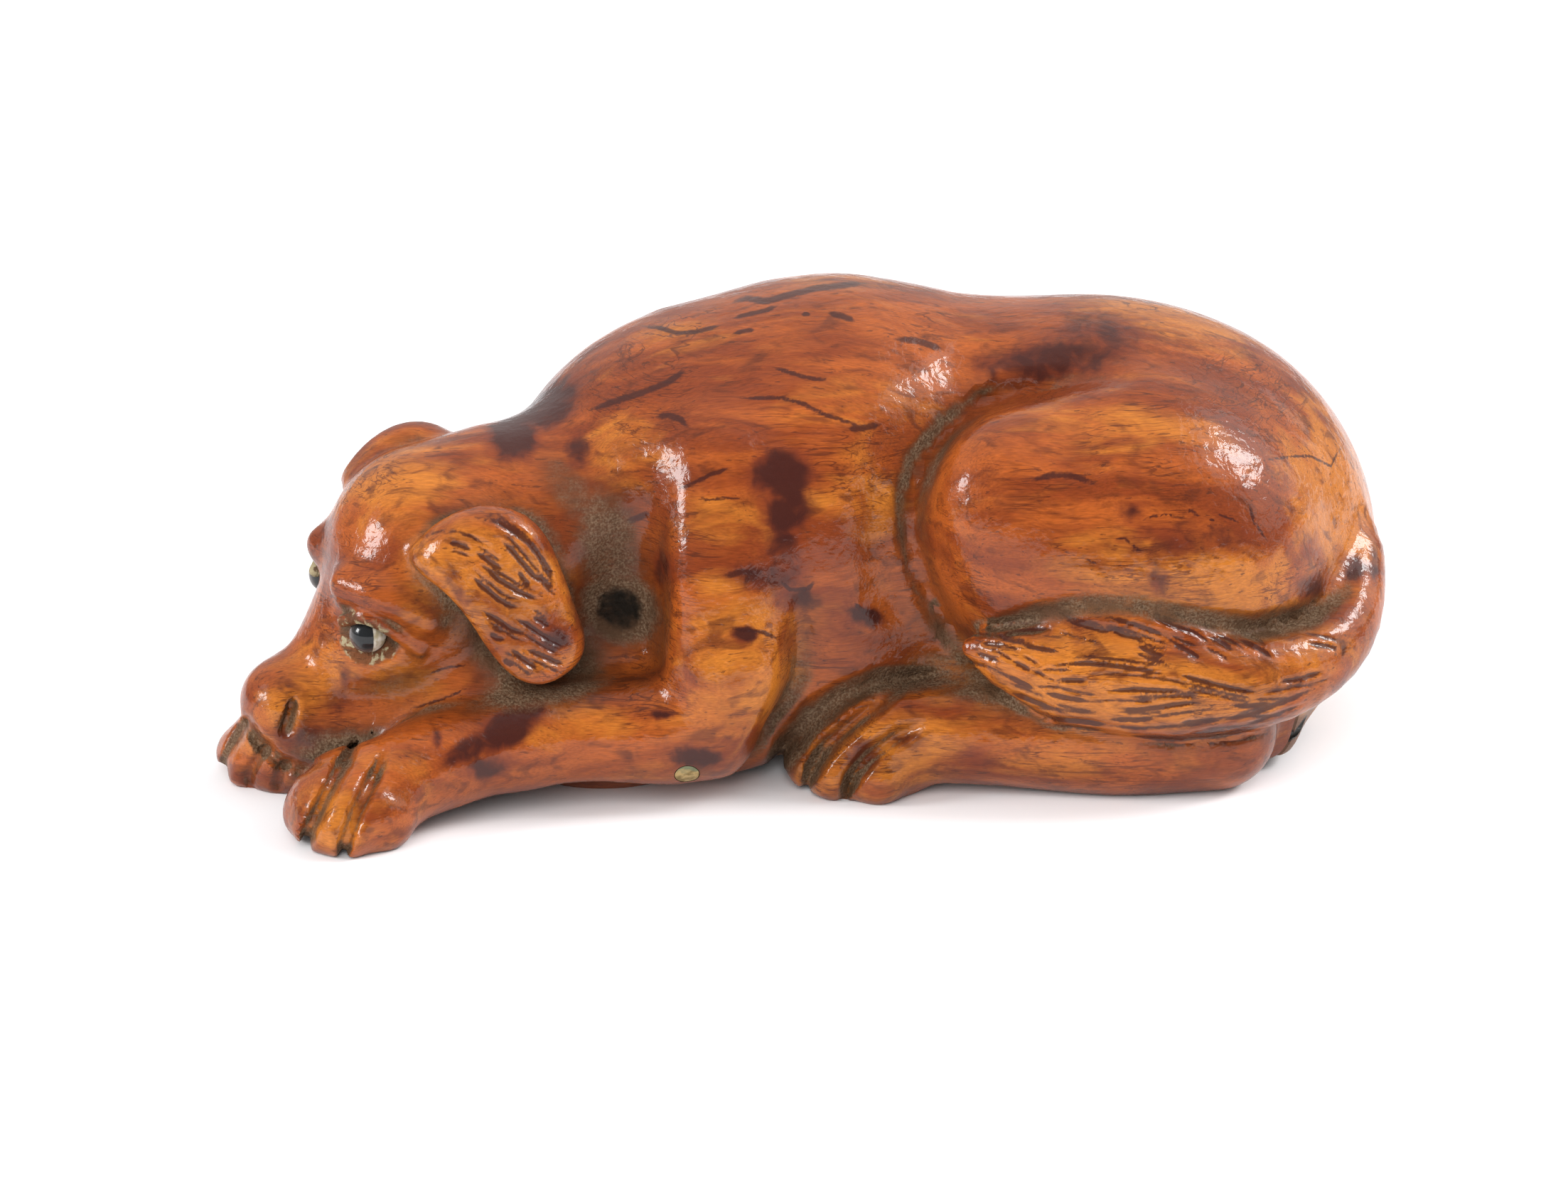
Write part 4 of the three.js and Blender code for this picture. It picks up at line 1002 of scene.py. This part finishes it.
def ear_and_tail_depth(p, normals):
    """How deep the gouge went on the ear and the tail, in millimetres."""
    px, py = as_photographed(p)
    head_place = in_head(p)
    on_ear = (head_place[:, 1] > 7.4) & (head_place[:, 0] < -3) & facing_camera(p, normals)
    on_tail = (p[:, 1] < -12) & (p[:, 0] > 11) & (p[:, 2] > 4) & facing_camera(p, normals)
    depth = np.zeros(len(p))
    light_ear = FINE_EAR_LINES + LIGHT_EAR_STROKES
    for here, strong, wide, light, narrow in (
        (on_ear, EAR_STROKES, 3.6, light_ear, 2.6),
        (on_tail, TAIL_STROKES, 3.2, LIGHT_TAIL_STROKES, 2.4),
    ):
        full = STROKE_DEPTH * line_strength(px[here], py[here], strong, wide)
        fine = LIGHT_STROKE_DEPTH * line_strength(px[here], py[here], light, narrow)
        depth[here] = np.maximum(full, fine)
    return depth


def colour_wood(piece):
    """Stores what the varnished wood's material reads."""
    p, normals = vertices_of(piece), normals_of(piece)
    px, py = as_photographed(p)
    # What was drawn from the photograph fades out towards the sides it doesn't show
    near = np.clip((0.3 - normals @ AWAY) / 0.5, 0, 1) * np.clip((12 - p[:, 1]) / 12, 0, 1)
    head_place = in_head(p)
    dusty = 0.75 * line_strength(px, py, [TAIL_TOP, HIND_FOOT_TOP], 15) * near
    groove = np.maximum(shelter(p, normals, 0.5), shelter(p, normals, 1.3))
    paint(piece, "groove", np.maximum(groove, dusty))
    # Painted shade: darkness in wide hollows, by how closed in each point is, and in the listed shaded
    # hollows
    shade_in_hollows = np.maximum(0.78 * shelter(p, normals, 4.5), 1.15 * area_strength(px, py, SHADED_HOLLOWS) * near)
    paint(piece, "hollow_shade", shade_in_hollows)
    streak = np.zeros(len(p))
    for half_width, lines in STREAKS.items():
        streak = np.maximum(streak, line_strength(px, py, lines, 0.72 * half_width))
    stroke = ear_and_tail_depth(p, normals) / STROKE_DEPTH
    paint(piece, "stroke", np.maximum(stroke, 0.85 * streak * near))
    paint(piece, "dark", area_strength(px, py, DARK_AREAS) * near)
    # Golden tone of the wood, with painted light on the head top, the cheek and the rump's right edge
    paint(piece, "gold_and_light", area_strength(px, py, GOLD_AND_LIT_AREAS) * near)
    socket = np.min([np.linalg.norm(head_place - place, axis=1) for place in EYES.values()], axis=0)
    paint(piece, "crust", np.clip((3.1 - socket) / 1.4, 0, 1))


def line_the_inside(piece):
    """Faces that lie well inside the stock were opened by the hollowing, and stay unvarnished."""
    faces = piece.data.polygons
    opened = measure(stock, triples(faces, "center")) < -INSIDE_BY
    faces.foreach_set("material_index", opened.astype(np.int32))


# The pieces

hinge_at = (HINGE["x"], 0, HINGE["z"])
vertices, triangles = carved_surface(stock, *CARVING_BOX, step=0.8, wanted=wanted_edge, rounds=2)
figure = object_from("figure", vertices, triangles)
normals = normals_of(figure)
move_vertices(figure, vertices - normals * ear_and_tail_depth(vertices, normals)[:, None])
combine(figure, "DIFFERENCE", box_tool(*BELOW_GROUND))

body = linked("body", figure.data.copy())
cavity = object_from("cavity", *surface_net(hollow, *CAVITY_BOX, step=1))
recess_half = LID["half_width"] + GAP
combine(
    body, "DIFFERENCE", cavity,
    plate_tool(HINGE["x"], LID["rear"] + 4, recess_half, LID["corner"], -1, LID["top"] + GAP),
    rod_tool(LID["knuckle"] + GAP, recess_half, hinge_at),
    box_tool(
        (HINGE["x"] - LID["knuckle"] - GAP, -recess_half, -1),
        (HINGE["x"] + 1, recess_half, HINGE["z"]),
    ),
    rod_tool(HINGE["radius"] + HINGE["play"], HINGE["reach"], hinge_at),
    *[ball_tool(from_head(place), BEAD + EYE_PLAY) for place in EYES.values()],
)

lid = linked("lid", figure.data.copy())
blank = plate_tool(HINGE["x"], LID["rear"], LID["half_width"], LID["corner"], LID["bottom"], LID["top"])
combine(blank, "UNION", rod_tool(LID["knuckle"], LID["half_width"], hinge_at))
combine(lid, "INTERSECT", blank)
combine(
    lid, "DIFFERENCE",
    rod_tool(HINGE["radius"] + HINGE["play"], HINGE["reach"], hinge_at),
    capsule_tool(NAIL_SLIT_RADIUS, *NAIL_SLIT),
)

pin = linked("pin", figure.data.copy())
combine(pin, "INTERSECT", rod_tool(HINGE["radius"], HINGE["reach"], hinge_at))
bpy.data.objects.remove(figure)

beads = {side: ball_tool(from_head(place), BEAD) for side, place in EYES.items()}


# Nodes

FINISH = {
    "amber": (0.28, 0.062, 0.009, 1),
    "russet": (0.15, 0.027, 0.005, 1),
    # Golden wood tone, also laid as painted light
    "gold_and_light": (0.40, 0.128, 0.015, 1),
    "burl": (0.075, 0.015, 0.004, 1),
    "vein": (0.060, 0.012, 0.004, 1),
    "fleck": (0.045, 0.012, 0.005, 1),
    # Painted shade round wide hollows
    "hollow_shade_tint": (0.070, 0.022, 0.009, 1),
    "stain": (0.032, 0.007, 0.005, 1),
    "stain_edge": (0.13, 0.022, 0.007, 1),
    # Dirt in the grooves and round the eyes, also laid as painted shade in wide hollows
    "grime_and_shade": (0.070, 0.040, 0.022, 1),
    "dust": (0.22, 0.15, 0.095, 1),
    # Painted black shade in the deepest hollows and in the lid's slit
    "black_shade": (0.008, 0.006, 0.004, 1),
    "filler": (0.30, 0.25, 0.15, 1),
    "raw": (0.34, 0.17, 0.075, 1),
    "raw_dark": (0.12, 0.050, 0.022, 1),
    "snuff": (0.045, 0.022, 0.011, 1),
    "lid": (0.42, 0.22, 0.12, 1),
    "brass": (0.50, 0.36, 0.15, 1),
    "tarnish": (0.16, 0.115, 0.045, 1),
    "verdigris": (0.10, 0.13, 0.065, 1),
    "glass": (0.012, 0.013, 0.014, 1),
    # Painted sheen at the eye bead's rim
    "glass_rim_sheen": (0.10, 0.085, 0.08, 1),
    "bone": (0.52, 0.47, 0.40, 1),
    "paper": (0.84, 0.83, 0.84, 1),
}


def add(tree, kind, inputs=None, **settings):
    """Adds a node with its settings; each input is a value or another node's output."""
    made = tree.nodes.new(kind)
    for key, value in settings.items():
        setattr(made, key, value)
    for key, value in (inputs or {}).items():
        if isinstance(value, bpy.types.NodeSocket):
            tree.links.new(value, made.inputs[key])
        else:
            made.inputs[key].default_value = value
    return made


def maths(tree, operation, *values):
    return add(tree, "ShaderNodeMath", dict(enumerate(values)), operation=operation).outputs[0]


def rise(tree, value, low, high):
    """0 below low, 1 above high, smooth between."""
    inputs = {"Value": value, "From Min": low, "From Max": high}
    return add(tree, "ShaderNodeMapRange", inputs, interpolation_type="SMOOTHSTEP").outputs["Result"]


def lay(tree, mask, under, over):
    """Lays one colour over another where the mask is 1."""
    return add(tree, "ShaderNodeMix", {0: mask, 6: under, 7: over}, data_type="RGBA").outputs[2]


def coat(tree, mask, share, under, finish):
    """Lays a finish over a colour, with this share of its strength where the mask is 1."""
    return lay(tree, maths(tree, "MULTIPLY", mask, share), under, FINISH[finish])


def relief(tree, height, strength, depth):
    """Small bumps by a height, with their depth in metres."""
    inputs = {"Height": height, "Strength": strength, "Distance": depth}
    return add(tree, "ShaderNodeBump", inputs).outputs[0]


def stretched(tree, place, factors):
    return add(tree, "ShaderNodeVectorMath", {0: place, 1: factors}, operation="MULTIPLY").outputs[0]


def noise(tree, place, scale, detail=2, distortion=0):
    settings = {"Vector": place, "Scale": scale, "Detail": detail, "Distortion": distortion}
    return add(tree, "ShaderNodeTexNoise", settings).outputs[0]


def stored(tree, name):
    return add(tree, "ShaderNodeAttribute", attribute_name=name).outputs["Fac"]


def millimetres(tree):
    place = add(tree, "ShaderNodeTexCoord").outputs["Object"]
    return stretched(tree, place, (1000, 1000, 1000))


def effect(name, inputs, outputs):
    """An empty node group with named sockets."""
    group = bpy.data.node_groups.new(name, "ShaderNodeTree")
    for socket, kind in inputs.items():
        group.interface.new_socket(socket, in_out="INPUT", socket_type="NodeSocket" + kind)
    for socket, kind in outputs.items():
        group.interface.new_socket(socket, in_out="OUTPUT", socket_type="NodeSocket" + kind)
    return group, group.nodes.new("NodeGroupInput").outputs, group.nodes.new("NodeGroupOutput").inputs


def use(tree, group, inputs):
    return add(tree, "ShaderNodeGroup", inputs, node_tree=group).outputs


def make_wood_grain():
    """Short dark flecks and thin veins along the grain, fine fibre and the slow figure of the wood."""
    group, given, result = effect(
        "wood_grain", {"Place": "Vector"},
        {"Flecks": "Float", "Fibre": "Float", "Figure": "Float", "Veins": "Float"},
    )
    sway = noise(group, given["Place"], 0.09, 2)
    bent = add(group, "ShaderNodeVectorMath", {0: given["Place"], 1: (0, 0, 4), 2: (0, 0, 0)},
               operation="MULTIPLY_ADD")
    group.links.new(maths(group, "MULTIPLY", sway, 6), bent.inputs[2])
    lengthwise = add(group, "ShaderNodeVectorMath", {0: given["Place"], 1: bent.outputs[0]})
    flecks = noise(group, stretched(group, lengthwise.outputs[0], (0.55, 3.4, 0.75)), 1, 3, 0.3)
    crowd = noise(group, given["Place"], 0.16, 2)
    threshold = maths(group, "MULTIPLY_ADD", crowd, -0.22, 0.76)
    over = maths(group, "SUBTRACT", flecks, threshold)
    group.links.new(rise(group, over, 0, 0.045), result["Flecks"])
    fibre = noise(group, stretched(group, lengthwise.outputs[0], (1.1, 8, 1.8)), 1, 2)
    group.links.new(fibre, result["Fibre"])
    bands = noise(group, stretched(group, lengthwise.outputs[0], (0.06, 0.3, 0.26)), 1, 4, 1.6)
    off = maths(group, "ABSOLUTE", maths(group, "SUBTRACT", bands, 0.5))
    veins = maths(group, "SUBTRACT", 1, rise(group, off, 0.003, 0.03))
    some = rise(group, noise(group, given["Place"], 0.13, 2), 0.46, 0.6)
    group.links.new(maths(group, "MULTIPLY", veins, some), result["Veins"])
    slow = noise(group, stretched(group, given["Place"], (0.06, 0.2, 0.2)), 1, 4, 1.2)
    group.links.new(rise(group, slow, 0.34, 0.62), result["Figure"])
    return group


def make_ragged_mask():
    """A stored value cut to a mask with a ragged edge of the given softness."""
    group, given, result = effect(
        "ragged_mask",
        {
            "Value": "Float", "Place": "Vector", "Grain": "Float",
            "Raggedness": "Float", "Softness": "Float",
        },
        {"Mask": "Float"},
    )
    rough = maths(group, "SUBTRACT", noise(group, given["Place"], given["Grain"], 5, 0.6), 0.5)
    value = maths(group, "MULTIPLY_ADD", rough, given["Raggedness"], given["Value"])
    low = maths(group, "SUBTRACT", 0.5, given["Softness"])
    high = maths(group, "ADD", 0.5, given["Softness"])
    group.links.new(rise(group, value, low, high), result["Mask"])
    return group


def make_groove_dirt_and_shade():
    """Old wax and dirt that fills the narrow grooves, with paler dust on it; the same dark laid in wide
    hollows is painted shade, and painted black shade fills the deepest.
    """
    group, given, result = effect(
        "groove_dirt_and_shade", {"Groove": "Float", "Hollow_Shade": "Float", "Place": "Vector"},
        {"Dirt_And_Shade": "Float", "Dust": "Float", "Black_Shade": "Float"},
    )
    rough = maths(group, "SUBTRACT", noise(group, given["Place"], 1.1, 4), 0.5)
    groove = maths(group, "MULTIPLY_ADD", rough, 0.3, given["Groove"])
    # Painted shade: wide hollows darken as the grooves' dirt does
    wide = maths(group, "MULTIPLY_ADD", rough, 0.3, given["Hollow_Shade"])
    dirt_and_shade = maths(group, "MAXIMUM", rise(group, groove, 0.3, 0.75), rise(group, wide, 0.4, 0.85))
    group.links.new(dirt_and_shade, result["Dirt_And_Shade"])
    grains = rise(group, noise(group, given["Place"], 5.5, 3), 0.36, 0.7)
    drift = rise(group, noise(group, given["Place"], 0.3, 2), 0.36, 0.54)
    dust = maths(group, "MULTIPLY", maths(group, "MULTIPLY", grains, drift), dirt_and_shade)
    group.links.new(dust, result["Dust"])
    # Painted black shade in the deepest hollows
    group.links.new(rise(group, wide, 0.95, 1.2), result["Black_Shade"])
    return group


def make_old_varnish():
    """How rough the old varnish is, and the small dents and wrinkles that break its shine."""
    group, given, result = effect(
        "old_varnish", {"Place": "Vector", "Dull": "Float"}, {"Roughness": "Float", "Normal": "Vector"},
    )
    worn = rise(group, noise(group, given["Place"], 0.35, 3), 0.45, 0.75)
    polish = maths(group, "MULTIPLY_ADD", worn, 0.07, 0.05)
    group.links.new(maths(group, "MULTIPLY_ADD", given["Dull"], 0.5, polish), result["Roughness"])
    wrinkles = noise(group, given["Place"], 1.5, 3, 0.6)
    dents = noise(group, given["Place"], 0.4, 2)
    height = maths(group, "ADD", maths(group, "MULTIPLY", wrinkles, 0.35), dents)
    group.links.new(relief(group, height, 0.45, 0.0004), result["Normal"])
    return group


wood_grain = make_wood_grain()
ragged_mask = make_ragged_mask()
groove_dirt_and_shade = make_groove_dirt_and_shade()
old_varnish = make_old_varnish()


def material(name):
    made = bpy.data.materials.new(name)
    made.use_nodes = True
    tree = made.node_tree
    return made, tree, tree.nodes["Principled BSDF"].inputs


def ragged(tree, value, place, grain, raggedness, softness=0.12):
    return use(tree, ragged_mask, {
        "Value": value, "Place": place, "Grain": grain, "Raggedness": raggedness, "Softness": softness,
    })[0]


def make_varnished_wood():
    made, tree, surface = material("varnished_wood")
    place = millimetres(tree)
    grain = use(tree, wood_grain, {"Place": place})
    hollow_shade = stored(tree, "hollow_shade")
    grooves_and_shade = use(tree, groove_dirt_and_shade, {"Groove": stored(tree, "groove"), "Hollow_Shade": hollow_shade, "Place": place})
    colour = lay(tree, grain["Figure"], FINISH["amber"], FINISH["russet"])
    # Golden tone, partly painted light on the head top, the cheek and the rump's right edge
    streaky = noise(tree, stretched(tree, place, (0.14, 0.55, 0.4)), 1, 5, 0.8)
    gold_and_light = maths(tree, "MULTIPLY_ADD", maths(tree, "SUBTRACT", streaky, 0.5), 2.2, stored(tree, "gold_and_light"))
    colour = coat(tree, rise(tree, gold_and_light, 0.1, 1.2), 0.9, colour, "gold_and_light")
    burl = noise(tree, stretched(tree, place, (0.2, 0.55, 0.5)), 1, 7, 1.8)
    colour = coat(tree, rise(tree, burl, 0.5, 0.72), 0.72, colour, "burl")
    fibre = maths(tree, "MULTIPLY_ADD", grain["Fibre"], 1, 0.52)
    colour = add(tree, "ShaderNodeVectorMath", {0: colour, "Scale": fibre}, operation="SCALE").outputs[0]
    colour = coat(tree, grain["Veins"], 0.75, colour, "vein")
    colour = coat(tree, grain["Flecks"], 0.6, colour, "fleck")
    # Painted shade: the wood darkens towards wide hollows
    hollow_shade_tint = rise(tree, hollow_shade, 0.08, 0.62)
    colour = coat(tree, hollow_shade_tint, 0.62, colour, "hollow_shade_tint")
    dark = stored(tree, "dark")
    edge = ragged(tree, maths(tree, "ADD", dark, 0.15), place, 0.5, 1.1, 0.4)
    colour = coat(tree, edge, 0.85, colour, "stain_edge")
    stain = ragged(tree, dark, place, 0.7, 1.2, 0.32)
    colour = coat(tree, stain, 0.92, colour, "stain")
    stroke = ragged(tree, stored(tree, "stroke"), place, 1.6, 0.6, 0.24)
    colour = coat(tree, stroke, 0.86, colour, "stain")
    # The grooves' dirt and dust, with painted shade in wide hollows and painted black shade in the
    # deepest
    colour = coat(tree, grooves_and_shade["Dirt_And_Shade"], 0.9, colour, "grime_and_shade")
    colour = coat(tree, grooves_and_shade["Dust"], 0.62, colour, "dust")
    colour = lay(tree, grooves_and_shade["Black_Shade"], colour, FINISH["black_shade"])
    crust = ragged(tree, stored(tree, "crust"), place, 1.2, 0.6)
    colour = coat(tree, crust, 0.7, colour, "grime_and_shade")
    lumps = maths(tree, "MULTIPLY", crust, rise(tree, noise(tree, place, 1.4, 3), 0.5, 0.6))
    colour = lay(tree, lumps, colour, FINISH["filler"])
    dull = maths(tree, "MAXIMUM", grooves_and_shade["Dirt_And_Shade"], crust)
    varnish = use(tree, old_varnish, {"Place": place, "Dull": dull})
    tree.links.new(colour, surface["Base Color"])
    surface["Roughness"].default_value = 0.5
    surface["Specular IOR Level"].default_value = 0.08
    tree.links.new(maths(tree, "MULTIPLY_ADD", dull, -0.55, 0.6), surface["Coat Weight"])
    tree.links.new(varnish["Roughness"], surface["Coat Roughness"])
    tree.links.new(varnish["Normal"], surface["Coat Normal"])
    height = maths(tree, "MULTIPLY_ADD", grain["Flecks"], -0.3, noise(tree, place, 2.6, 4))
    unevenness = maths(tree, "MULTIPLY_ADD", dull, 0.5, 0.08)
    tree.links.new(relief(tree, height, unevenness, 0.0004), surface["Normal"])
    return made


def make_raw_wood():
    """The unvarnished inside, browned by snuff in patches."""
    made, tree, surface = material("raw_wood")
    place = millimetres(tree)
    grain = use(tree, wood_grain, {"Place": place})
    colour = lay(tree, grain["Figure"], FINISH["raw"], FINISH["raw_dark"])
    colour = coat(tree, grain["Flecks"], 0.6, colour, "fleck")
    snuff = rise(tree, noise(tree, place, 0.22, 4), 0.48, 0.7)
    colour = coat(tree, snuff, 0.8, colour, "snuff")
    tree.links.new(colour, surface["Base Color"])
    surface["Roughness"].default_value = 0.78
    tree.links.new(relief(tree, grain["Fibre"], 0.3, 0.0003), surface["Normal"])
    return made


def make_lid_wood():
    made, tree, surface = material("lid_wood")
    place = millimetres(tree)
    grain = use(tree, wood_grain, {"Place": place})
    colour = lay(tree, grain["Figure"], FINISH["lid"], FINISH["raw_dark"])
    fibre = maths(tree, "MULTIPLY_ADD", grain["Fibre"], 0.8, 0.6)
    colour = add(tree, "ShaderNodeVectorMath", {0: colour, "Scale": fibre}, operation="SCALE").outputs[0]
    colour = coat(tree, grain["Flecks"], 0.7, colour, "fleck")
    # Painted shadow in the fingernail slit
    slit_shadow = ragged(tree, stored(tree, "slit_shadow"), place, 1.5, 0.4)
    colour = lay(tree, slit_shadow, colour, FINISH["black_shade"])
    tree.links.new(colour, surface["Base Color"])
    worn = rise(tree, noise(tree, place, 0.3, 3), 0.4, 0.7)
    tree.links.new(maths(tree, "MULTIPLY_ADD", worn, 0.2, 0.45), surface["Roughness"])
    tree.links.new(relief(tree, grain["Fibre"], 0.25, 0.0003), surface["Normal"])
    return made


def make_old_brass():
    """A filed pin end, tarnished, with green along its upper edge."""
    made, tree, surface = material("old_brass")
    place = millimetres(tree)
    file_marks = noise(tree, stretched(tree, place, (2.4, 2.4, 14)), 1, 2)
    tarnish = rise(tree, noise(tree, place, 1.3, 4), 0.36, 0.62)
    colour = coat(tree, tarnish, 0.75, FINISH["brass"], "tarnish")
    height = add(tree, "ShaderNodeSeparateXYZ", {0: place}).outputs["Z"]
    upper = maths(tree, "MULTIPLY_ADD", noise(tree, place, 1.8, 3), 1.2, height)
    green = rise(tree, upper, HINGE["z"] + 0.75, HINGE["z"] + 1.25)
    colour = coat(tree, green, 0.9, colour, "verdigris")
    tree.links.new(colour, surface["Base Color"])
    tree.links.new(maths(tree, "MULTIPLY_ADD", green, -0.7, 0.85), surface["Metallic"])
    tree.links.new(maths(tree, "MULTIPLY_ADD", tarnish, 0.3, 0.34), surface["Roughness"])
    tree.links.new(relief(tree, file_marks, 0.5, 0.0001), surface["Normal"])
    return made


def make_eye_glass():
    made, tree, surface = material("eye_glass")
    place = millimetres(tree)
    white = ragged(tree, stored(tree, "white"), place, 1.4, 0.25)
    # Painted sheen: the dark glass turns grey towards its rim as seen
    depth = add(tree, "ShaderNodeLayerWeight", {"Blend": 0.35}).outputs["Facing"]
    colour = lay(tree, rise(tree, depth, 0.1, 0.7), FINISH["glass"], FINISH["glass_rim_sheen"])
    spots = rise(tree, noise(tree, place, 1.6, 3), 0.4, 0.7)
    mottled = lay(tree, spots, FINISH["bone"], FINISH["filler"])
    colour = lay(tree, white, colour, mottled)
    tree.links.new(colour, surface["Base Color"])
    tree.links.new(maths(tree, "MULTIPLY_ADD", white, 0.3, 0.06), surface["Roughness"])
    surface["Specular IOR Level"].default_value = 0.4
    return made


def make_paper():
    made, tree, surface = material("floor_paper")
    surface["Base Color"].default_value = FINISH["paper"]
    surface["Roughness"].default_value = 0.9
    surface["Specular IOR Level"].default_value = 0.1
    return made


# The finished pieces

varnished_wood = make_varnished_wood()
raw_wood = make_raw_wood()
lid_wood = make_lid_wood()
old_brass = make_old_brass()
eye_glass = make_eye_glass()


def paint_slit_shadow(piece):
    """Painted shadow in and round the fingernail slit in the lid's rear corner."""
    p = vertices_of(piece)
    start, end = (np.array(at) for at in NAIL_SLIT)
    run = end - start
    t = np.clip((p - start) @ run / (run @ run), 0, 1)
    off = np.linalg.norm(p - start - t[:, None] * run, axis=1)
    paint(piece, "slit_shadow", np.clip(1.6 - off / 0.5, 0, 1))


def paint_white(bead, place):
    """The white corner of the eye lies towards the ear, on the outer side."""
    across = (vertices_of(bead) - from_head(place)) @ HEAD_BASIS
    outward = across[:, 1] * math.copysign(1, place[1])
    white = np.clip(0.5 + (-across[:, 0] - 0.12) / 0.3, 0, 1)
    paint(bead, "white", white * np.clip(0.5 + (outward - 0.2) / 0.3, 0, 1))


def finish_piece(piece, node, name, body_name, slot_name, *materials):
    piece.data.materials.clear()
    for each in materials:
        piece.data.materials.append(each)
    into_frame(piece, name)
    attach(piece, body_name)
    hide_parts(node)


colour_wood(body)
line_the_inside(body)
paint_slit_shadow(lid)
for side, bead in beads.items():
    paint_white(bead, EYES[side])
finish_piece(body, "dog_body", "carved_dog", "box", "varnished_wood", varnished_wood, raw_wood)
finish_piece(lid, "base_lid", "hinged_base", "lid", "lid_wood", lid_wood)
finish_piece(pin, "hinge_pin", "filed_pin", "box", "brass_pin", old_brass)
finish_piece(beads["left"], "left_eye", "left_bead", "box", "eye_glass", eye_glass)
finish_piece(beads["right"], "right_eye", "right_bead", "box", "eye_glass", eye_glass)


# Floor, light and camera

floor = box_tool((-4, -4, -0.01), (4, 4, 0))
floor.name = "paper_floor"
floor.data.materials.append(make_paper())

world = bpy.data.worlds.new("studio")
world.use_nodes = True
sky = world.node_tree
direction = add(sky, "ShaderNodeTexCoord").outputs["Generated"]
above_and_behind = {0: direction, 1: (0, 0.55, 0.83)}
facing = add(sky, "ShaderNodeVectorMath", above_and_behind, operation="DOT_PRODUCT").outputs["Value"]
strength = maths(sky, "MULTIPLY_ADD", rise(sky, facing, 0.1, 0.95), 0.7, 0.16)
sky_light = sky.nodes["Background"]
sky.links.new(strength, sky_light.inputs["Strength"])
sky_light.inputs["Color"].default_value = (1, 1, 1, 1)
bpy.context.scene.world = world

middle = Vector(CAMERA["target"]) / 1000 + Vector(SHIFT) / 1000


def softbox(name, toward, distance, size, radiance):
    """A square softbox seen from the dog in the given direction."""
    light = bpy.data.lights.new(name, "AREA")
    light.shape = "SQUARE"
    light.size = size
    light.energy = radiance * math.pi * size**2
    lamp = linked(name, light)
    toward = Vector(toward).normalized()
    lamp.location = middle + toward * distance
    lamp.rotation_euler = toward.to_track_quat("Z", "Y").to_euler()
    return lamp


softbox("right_softbox", (0.76, 0.02, 0.645), 1, 0.32, 20)
softbox("right_diffuser", (0.85, 0.1, 0.6), 1.05, 1.1, 1.6)
softbox("left_softbox", (-0.9, -0.3, 0.42), 1, 0.3, 18)
softbox("left_diffuser", (-0.9, -0.3, 0.42), 1.05, 0.6, 1.6)
# A wide light by the camera that lifts the shadows without a reflection of its own
softbox("front_fill", (-0.25, -1, 0.7), 1.3, 1, 5).visible_glossy = False

camera = linked("camera", bpy.data.cameras.new("camera"))
bpy.context.scene.camera = camera
back = Vector(-AWAY)
camera.location = middle + back * CAMERA["distance"] / 1000
camera.rotation_euler = back.to_track_quat("Z", "Y").to_euler()
camera.data.sensor_width = CAMERA["sensor"]
camera.data.lens = CAMERA["sensor"] * CAMERA["distance"] / (PHOTO["width"] / PHOTO["pixels_per_mm"])
camera.data.clip_start = 0.01
bpy.context.scene.view_settings.view_transform = "Standard"
